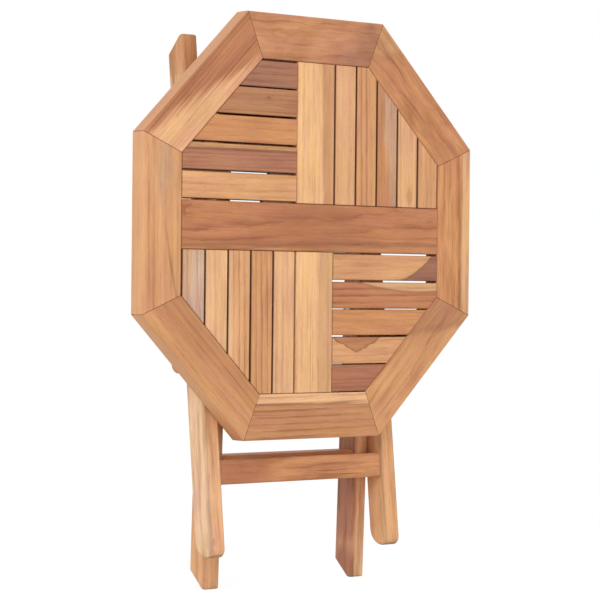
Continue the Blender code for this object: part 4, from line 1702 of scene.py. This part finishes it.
@dataclass
class BoltSet:
    """A socket-head bolt sunk in a leg, with its nut and the washer between the members."""

    workshop: Workshop
    label: str
    side: Side
    body: str = "inner_frame"
    head_radius: float = 7 * MM
    head_thick: float = 3 * MM
    head_dome: tuple[tuple[float, float], ...] = ((1.2 * MM, 0.0), (0.5 * MM, 0.25 * MM),
                                                  (0.0, 0.9 * MM))
    neck_ease: float = 0.3 * MM
    socket: float = 2.3 * MM
    socket_deep: float = 1.9 * MM
    shank: float = 3 * MM
    thread_long: float = 9 * MM
    thread_pitch: float = 1 * MM
    thread_deep: float = 0.3 * MM
    tip_ease: float = 0.7 * MM
    nut_corner: float = 0.5 * MM
    nut_past: float = 0.1 * MM
    washer_ease: float = 0.15 * MM
    facets: int = 48

    def build(self) -> None:
        """Makes the bolt, the nut and the washer."""
        self.make_bolt()
        self.make_nut()
        self.make_washer()

    def names(self, kind: str) -> tuple[str, Vector, Vector]:
        """A fitting's node name and its box."""
        name = f"{self.label}_{kind}_{self.side.value}"
        return name, *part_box(name)

    def placed(self, mesh: bpy.types.Mesh, name: str, low: Vector, high: Vector, seed: float) -> None:
        """Lays a turned mesh along x, its z pointing out of the table, and hands it over.

        Args:
            mesh: The fitting, about its own middle.
            name: The CAD node that it stands for.
            low: The node's lower corner.
            high: Its upper corner.
            seed: Which piece of plated steel it is.
        """
        middle = (low + high) / 2
        turn = Matrix.Rotation(self.side.outward() * QUARTER, 4, "Y")
        mesh.transform(Matrix.Translation(middle) @ turn)
        self.workshop.hand_over(mesh, self.body, ZincFinish(seed=seed), Placement(middle, turn), [name])

    def make_bolt(self) -> None:
        """A flat head with a hexagonal socket, a plain shank and a threaded tip."""
        name, low, high = self.names("bolt")
        half = (high.x - low.x) / 2
        neck = half - self.head_thick
        profile = [(0.0, half)]
        profile += [(self.head_radius - inward, half - down) for inward, down in self.head_dome]
        profile += [(self.head_radius, neck + self.neck_ease), (self.head_radius - self.neck_ease, neck),
                    (self.shank, neck)]
        height = self.thread_long - half
        profile.append((self.shank, height))
        while height > -half + self.thread_pitch:
            profile.append((self.shank - self.thread_deep, height - self.thread_pitch / 2))
            height -= self.thread_pitch
            profile.append((self.shank, height))
        profile += [(self.shank - self.tip_ease, -half), (0.0, -half)]
        mesh = turned_mesh(name, profile, self.facets)
        socket = prism_mesh(name + "_socket", hexagon(self.socket), 2 * self.socket_deep)
        socket.transform(Matrix.Translation((0, 0, half)))
        self.placed(combined(mesh, [socket], Carving.CUT_OUT), name, low, high, seed=2.0)

    def make_nut(self) -> None:
        """A hexagonal nut with turned-down corners and a bore."""
        name, low, high = self.names("nut")
        half = (high.x - low.x) / 2
        radius = (high.y - low.y) / 2
        flat = radius * math.cos(math.radians(30))
        past, shoulder = radius + self.nut_past, half - self.nut_corner
        mesh = prism_mesh(name, hexagon(radius), 2 * half)
        chamfer = turned_mesh(name + "_chamfer", [
            (0.0, half), (flat, half), (past, shoulder), (past, -shoulder), (flat, -half), (0.0, -half)])
        shaped = combined(mesh, [chamfer], Carving.KEEP_SHARED)
        bore = bore_mesh(name + "_bore", BOLT_HOLE, 2 * half)
        self.placed(combined(shaped, [bore], Carving.CUT_OUT), name, low, high, seed=6.0)

    def make_washer(self) -> None:
        """A thin washer with its rims broken."""
        name, low, high = self.names("washer")
        half = (high.x - low.x) / 2
        radius = (high.z - low.z) / 2
        ease = self.washer_ease
        mesh = turned_mesh(name, [(radius - ease, half), (radius, half - ease), (radius, -half + ease),
                                  (radius - ease, -half), (BOLT_HOLE, -half), (BOLT_HOLE, half)],
                           self.facets)
        self.placed(mesh, name, low, high, seed=9.0)


STRAIGHT = Figure(pith_across=120.0, pith_depth=-30.0, ring_spacing=4.6, taper=0.012, wander=4.0)
LINED = Figure(pith_across=120.0, pith_depth=-30.0, ring_spacing=7.5, taper=0.016, wander=8.0,
               ring_strength=0.95)
LIVELY = Figure(pith_across=24.0, pith_depth=-34.0, ring_spacing=7.0, taper=0.05, wander=12.0,
                ring_strength=0.55, streaks=1.1, swirl=2.0, blotch=0.4)
CURLED = Figure(pith_across=30.0, pith_depth=-40.0, ring_spacing=9.0, taper=0.05, wander=16.0,
                ring_strength=0.4, streaks=1.15, swirl=7.0, blotch=1.3)
PLAIN = Figure(pith_across=90.0, pith_depth=-70.0, ring_spacing=6.0, taper=0.01, wander=5.0,
               ring_strength=0.35, streaks=0.8, blotch=0.15)
STREAKY = Figure(pith_across=90.0, pith_depth=-70.0, ring_spacing=9.0, taper=0.012, wander=6.0,
                 ring_strength=0.55, streaks=1.7)
QUIET = Figure(pith_across=90.0, pith_depth=-70.0, ring_spacing=7.0, taper=0.01, wander=4.0,
               ring_strength=0.2, streaks=0.55)


def rim(tone: Tone, seed: float, figure: Figure = PLAIN, zone: Optional[Zone] = None,
        slot: Slot = Slot.TAN, patch: Optional[Patch] = None, side_shade: float = 0.35,
        side_tone: Tone = Tone.HONEY, edge_shade: float = 0.35) -> TeakFinish:
    """A rim board's finish, its sides paler, partly painted light, partly paler wood, and arrises darkened.
    """
    return TeakFinish(tone, seed, figure, zone, None, slot, side_shade, side_tone, patch, edge_shade)


RIM_WOOD = {
    "top": rim(Tone.BRICK, 1.1, CURLED, slot=Slot.ORANGE, patch=Patch(Tone.MAUVE, 82, -18, 66, 50)),
    "top_right": rim(Tone.CEDAR, 2.3, CURLED, Zone(Tone.TAN, 96, 1.3, softness=20, line=0.2),
                     Slot.ORANGE),
    "right": rim(Tone.COPPER, 3.7, STREAKY, Zone(Tone.STRAW, 12.5, softness=2.0, line=0.25)),
    "bottom_right": rim(Tone.TAN, 4.9, LIVELY,
                        Zone(Tone.BRICK, -40, -0.75, below=True, softness=12, line=0.3)),
    "bottom": rim(Tone.HONEY, 5.9, LINED,
                  Zone(Tone.CEDAR, -14, -0.015, softness=2.5, line=0.5, strength=0.9)),
    "bottom_left": rim(Tone.TAN, 6.1, PLAIN,
                       Zone(Tone.CEDAR, 2, 0.12, below=True, softness=16, strength=0.7), Slot.ORANGE),
    "left": rim(Tone.PEACH, 7.7, PLAIN, Zone(Tone.TAN, -3, 0.2, start=-50, below=True, softness=3,
                                             strength=0.4, line=0.55, reach=42),
                patch=Patch(Tone.SMOKE, 60, -2, 60, 16, 0.35)),
    # This rim's side is painted paler still, partly as light on it, and its arris darker.
    "top_left": rim(Tone.STRAW, 8.5, STRAIGHT, Zone(Tone.CHESTNUT, -2.5, -0.25, softness=16), Slot.BROWN,
                    side_shade=0.5, edge_shade=0.9),
}
PLANK_WOOD = TeakFinish(Tone.CHESTNUT, 9.4, Figure(24, -34, 8.0, 0.03, 9.0, 0.7, 1.0, 2.0),
                        Zone(Tone.CEDAR, -20, 0.015, below=True, softness=4, strength=0.5, line=0.5),
                        Knot(182, 12, 2.6, 0.4), Slot.BROWN,
                        patch=Patch(Tone.RUSSET, 5, 0, 110, 60, 0.9))
UPPER_MULLION_WOOD = TeakFinish(Tone.PALE_GOLD, 10.2, PLAIN,
                                Zone(Tone.PEACH, -9, 0.03, below=True, softness=7))
LOWER_MULLION_WOOD = TeakFinish(Tone.PALE_GOLD, 11.6, PLAIN, Zone(Tone.STRAW, -6, below=True, softness=3),
                                slot=Slot.GOLDEN)


def slat(tone: Tone, seed: float, figure: Figure = PLAIN, zone: Optional[Zone] = None,
         slot: Slot = Slot.TAN, knot: Optional[Knot] = None, patch: Optional[Patch] = None) -> TeakFinish:
    """A slat's finish, with painted shade on its sides where they face a gap."""
    return TeakFinish(tone, seed, figure, zone, knot, slot, side_shade=0.8, patch=patch)


SLAT_WOOD = {
    "upper_right": (
        slat(Tone.STRAW, 12.1, QUIET),
        slat(Tone.TAN, 13.4, LINED),
        slat(Tone.CEDAR, 14.8, STRAIGHT, Zone(Tone.SMOKE, 2, 0.15, below=True, softness=12, strength=0.6),
             Slot.BROWN),
        slat(Tone.STRAW, 15.2, PLAIN, patch=Patch(Tone.CEDAR, -46, -3, 15, 6, 0.6)),
        slat(Tone.PEACH, 16.9, PLAIN, slot=Slot.ORANGE),
    ),
    "upper_left": (
        slat(Tone.AMBER, 17.3, PLAIN, slot=Slot.GOLDEN),
        slat(Tone.MAUVE, 18.7, STRAIGHT, Zone(Tone.PEACH, 9, softness=2.5, line=0.8), Slot.MAUVE),
        slat(Tone.COPPER, 19.1, PLAIN, slot=Slot.ORANGE),
        slat(Tone.WALNUT, 20.6, STRAIGHT, slot=Slot.BROWN, knot=Knot(16.5, 5.5, 1.8)),
        slat(Tone.UMBER, 21.5, LINED, slot=Slot.MAUVE),
    ),
    "lower_left": (
        slat(Tone.HONEY, 22.8, PLAIN, slot=Slot.GOLDEN),
        slat(Tone.TAN, 23.2, LINED, Zone(Tone.PEACH, 12, softness=2)),
        slat(Tone.PEACH, 24.9, LINED, Zone(Tone.HONEY, 9.5, softness=2.5)),
        slat(Tone.HONEY, 25.3, PLAIN, slot=Slot.GOLDEN),
        slat(Tone.SMOKE, 26.7, LIVELY, Zone(Tone.PEACH, 8, -0.25, softness=7, strength=0.5), Slot.MAUVE),
    ),
    "lower_right": (
        slat(Tone.PEACH, 27.1, PLAIN, Zone(Tone.UMBER, -16, 0.0, 0.0075, 10, True, 2.0, line=0.6)),
        slat(Tone.CHESTNUT, 28.4, LINED, Zone.arch(Tone.STRAW, 52, 3.9, 0.00124, softness=2.0, line=0.5),
             Slot.BROWN),
        slat(Tone.COPPER, 29.8, PLAIN, slot=Slot.ORANGE),
        slat(Tone.AMBER, 30.5, PLAIN, slot=Slot.GOLDEN,
             patch=Patch(Tone.CEDAR, -23, 15, 46, 21, softness=0.1, line=0.75)),
        slat(Tone.COCOA, 31.2, STRAIGHT, slot=Slot.MAUVE),
    ),
}
BATTEN_WOOD = TeakFinish(Tone.TAN, 32.6, STRAIGHT, slot=Slot.ORANGE)
BLOCK_WOOD = TeakFinish(Tone.TAN, 33.9, PLAIN, slot=Slot.ORANGE)
INNER_LEG_WOOD = {
    Side.LEFT: TeakFinish(Tone.STRAW, 34.3, STRAIGHT, Zone(Tone.PEACH, 2, softness=4, below=True)),
    Side.RIGHT: TeakFinish(Tone.STRAW, 35.7, STREAKY, Zone(Tone.MAUVE, 6, softness=6),
                           patch=Patch(Tone.HONEY, -285, -3, 110, 14)),
}
OUTER_LEG_WOOD = {
    # The tan patch at the leg's upper end, under the top, is partly painted shade from the top and partly
    # darker wood.
    Side.LEFT: TeakFinish(Tone.STRAW, 36.4, STREAKY,
                          Zone(Tone.SAPWOOD, -7, below=True, softness=5, strength=0.8),
                          Knot(269, -6, 3.0, 0.4), patch=Patch(Tone.TAN, -310, 2, 90, 44),
                          edge_shade=0.25),
    Side.RIGHT: TeakFinish(Tone.PEACH, 37.8, STREAKY, Zone(Tone.STRAW, -7.5, below=True, softness=4),
                           edge_shade=0.4),
}
INNER_RAIL_WOOD = {End.HEAD: TeakFinish(Tone.TAN, 38.2, PLAIN),
                   End.FOOT: TeakFinish(Tone.CEDAR, 39.6, PLAIN)}
OUTER_RAIL_WOOD = {End.HEAD: TeakFinish(Tone.CEDAR, 40.1, STREAKY, slot=Slot.ORANGE,
                                        patch=Patch(Tone.RUSSET, 95, 0, 85, 50)),
                   End.FOOT: TeakFinish(Tone.TAN, 41.5, PLAIN, slot=Slot.ORANGE)}


@dataclass(frozen=True)
class Lamp:
    """A square soft lamp that looks at the table: its place, its width and its power in watts."""

    name: str
    place: tuple[float, float, float]
    size: float
    power: float

    def hang(self) -> None:
        """Hangs the lamp in the scene."""
        light = bpy.data.lights.new(self.name, "AREA")
        light.size = self.size
        light.energy = self.power
        holder = new_object(self.name, light)
        holder.location = self.place
        holder.rotation_euler = (Vector(self.place) * -1).to_track_quat("-Z", "Y").to_euler()


@dataclass
class Studio:
    """The pale floor, the soft lamps, the world and the camera."""

    lamps: tuple[Lamp, ...] = (Lamp("key_lamp", (-2.7, -1.6, 1.5), 1.6, 37.0),
                               Lamp("fill_lamp", (1.0, -3.3, 1.0), 2.2, 15.0))
    floor_size: float = 14.0
    floor_drop: float = 0.5 * MM
    floor_grey: float = 0.8
    floor_roughness: float = 0.9
    glow: float = 1.06
    glow_share: float = 0.86
    camera_place: tuple[float, float, float] = (-1.8187, -2.2258, -0.0723)
    heading: float = -38.910
    pitch: float = 89.734
    roll: float = 0.598
    focal_pixels: float = 2420.3
    picture_pixels: float = 600.0
    world_strength: float = 0.8

    def build(self) -> None:
        """Makes everything that isn't the table."""
        self.make_floor()
        self.make_world()
        for lamp in self.lamps:
            lamp.hang()
        self.place_camera()

    def make_floor(self) -> None:
        """A pale floor that takes a faint shadow and melts into the background."""
        body = bmesh.new()
        bmesh.ops.create_grid(body, x_segments=1, y_segments=1, size=self.floor_size / 2)
        mesh = kept_mesh("floor", body)
        mesh.transform(Matrix.Translation((0, 0, CAD_BOX[0][2] - self.floor_drop)))
        floor = new_object("floor", mesh)
        mesh.materials.append(self.floor_material())

    def floor_material(self) -> bpy.types.Material:
        """White where it is seen, with a share of its real shading left for the shadow.

        Returns:
            The floor's material.
        """
        material = bpy.data.materials.new("floor")
        material.use_nodes = True
        sheet = Sheet(material.node_tree)
        shader = sheet.tree.nodes["Principled BSDF"]
        shader.inputs["Base Color"].default_value = (*[self.floor_grey] * 3, 1.0)
        shader.inputs["Roughness"].default_value = self.floor_roughness
        glow = sheet.add("ShaderNodeEmission")
        glow.inputs["Strength"].default_value = self.glow
        blend = sheet.add("ShaderNodeMixShader")
        sheet.feed(blend.inputs[0], self.background_rays(sheet) * self.glow_share)
        sheet.feed(blend.inputs[1], Term(sheet, shader.outputs[0]))
        sheet.feed(blend.inputs[2], Term(sheet, glow.outputs[0]))
        sheet.feed(sheet.tree.nodes["Material Output"].inputs["Surface"], Term(sheet, blend.outputs[0]))
        return material

    def background_rays(self, sheet: Sheet) -> Term:
        """Picks out the rays that show the background: camera, glossy and transmission rays.

        Args:
            sheet: The material's or the world's sheet.

        Returns:
            One for those rays and nought for the others.
        """
        path = sheet.add("ShaderNodeLightPath")
        rays = [Term(sheet, path.outputs[f"Is {kind} Ray"]) for kind in ("Camera", "Glossy", "Transmission")]
        return (rays[0] + rays[1] + rays[2]).clamped()

    def make_world(self) -> None:
        """A white background over a softer grey light."""
        world = bpy.data.worlds.new("studio")
        bpy.context.scene.world = world
        world.use_nodes = True
        sheet = Sheet(world.node_tree)
        background = sheet.tree.nodes["Background"]
        background.inputs["Color"].default_value = (1.0, 1.0, 1.0, 1.0)
        rays = self.background_rays(sheet)
        strength = self.world_strength + rays * (1.0 - self.world_strength)
        sheet.feed(background.inputs["Strength"], strength)

    def place_camera(self) -> None:
        """The camera where the photograph was taken from."""
        camera = bpy.data.cameras.new("camera")
        camera.lens = self.focal_pixels * camera.sensor_width / self.picture_pixels
        holder = new_object("camera", camera)
        turn = (Matrix.Rotation(math.radians(self.heading), 4, "Z")
                @ Matrix.Rotation(math.radians(self.pitch), 4, "X")
                @ Matrix.Rotation(math.radians(self.roll), 4, "Z"))
        holder.matrix_world = Matrix.Translation(self.camera_place) @ turn
        bpy.context.scene.camera = holder
        bpy.context.scene.view_settings.view_transform = "Standard"


def main() -> None:
    """Builds the table and its studio, piece by piece."""
    logging.basicConfig(level=logging.INFO, format="%(name)s: %(message)s")
    workshop = Workshop()
    Tabletop(workshop).build()
    Underside(workshop).build()
    hinge_arm = (hinge_place() - joint_place("scissor")).length
    half_deep = LegFrame.deep / 2
    LegFrame(workshop, "inner", "inner_frame", INNER_LEAN, True, hinge_arm + half_deep, half_deep,
             INNER_LEG_WOOD, INNER_RAIL_WOOD, sunk_bolts=(hinge_arm,), plain_bolts=(0.0,)).build()
    LegFrame(workshop, "outer", "outer_frame", OUTER_LEAN, False, OUTER_HEAD_ARM, OUTER_HEAD_ROUND,
             OUTER_LEG_WOOD, OUTER_RAIL_WOOD, sunk_bolts=(0.0,)).build()
    for label in ("pivot", "hinge"):
        for side in Side:
            BoltSet(workshop, label, side).build()
    Studio().build()


if __name__ == "__main__":
    main()
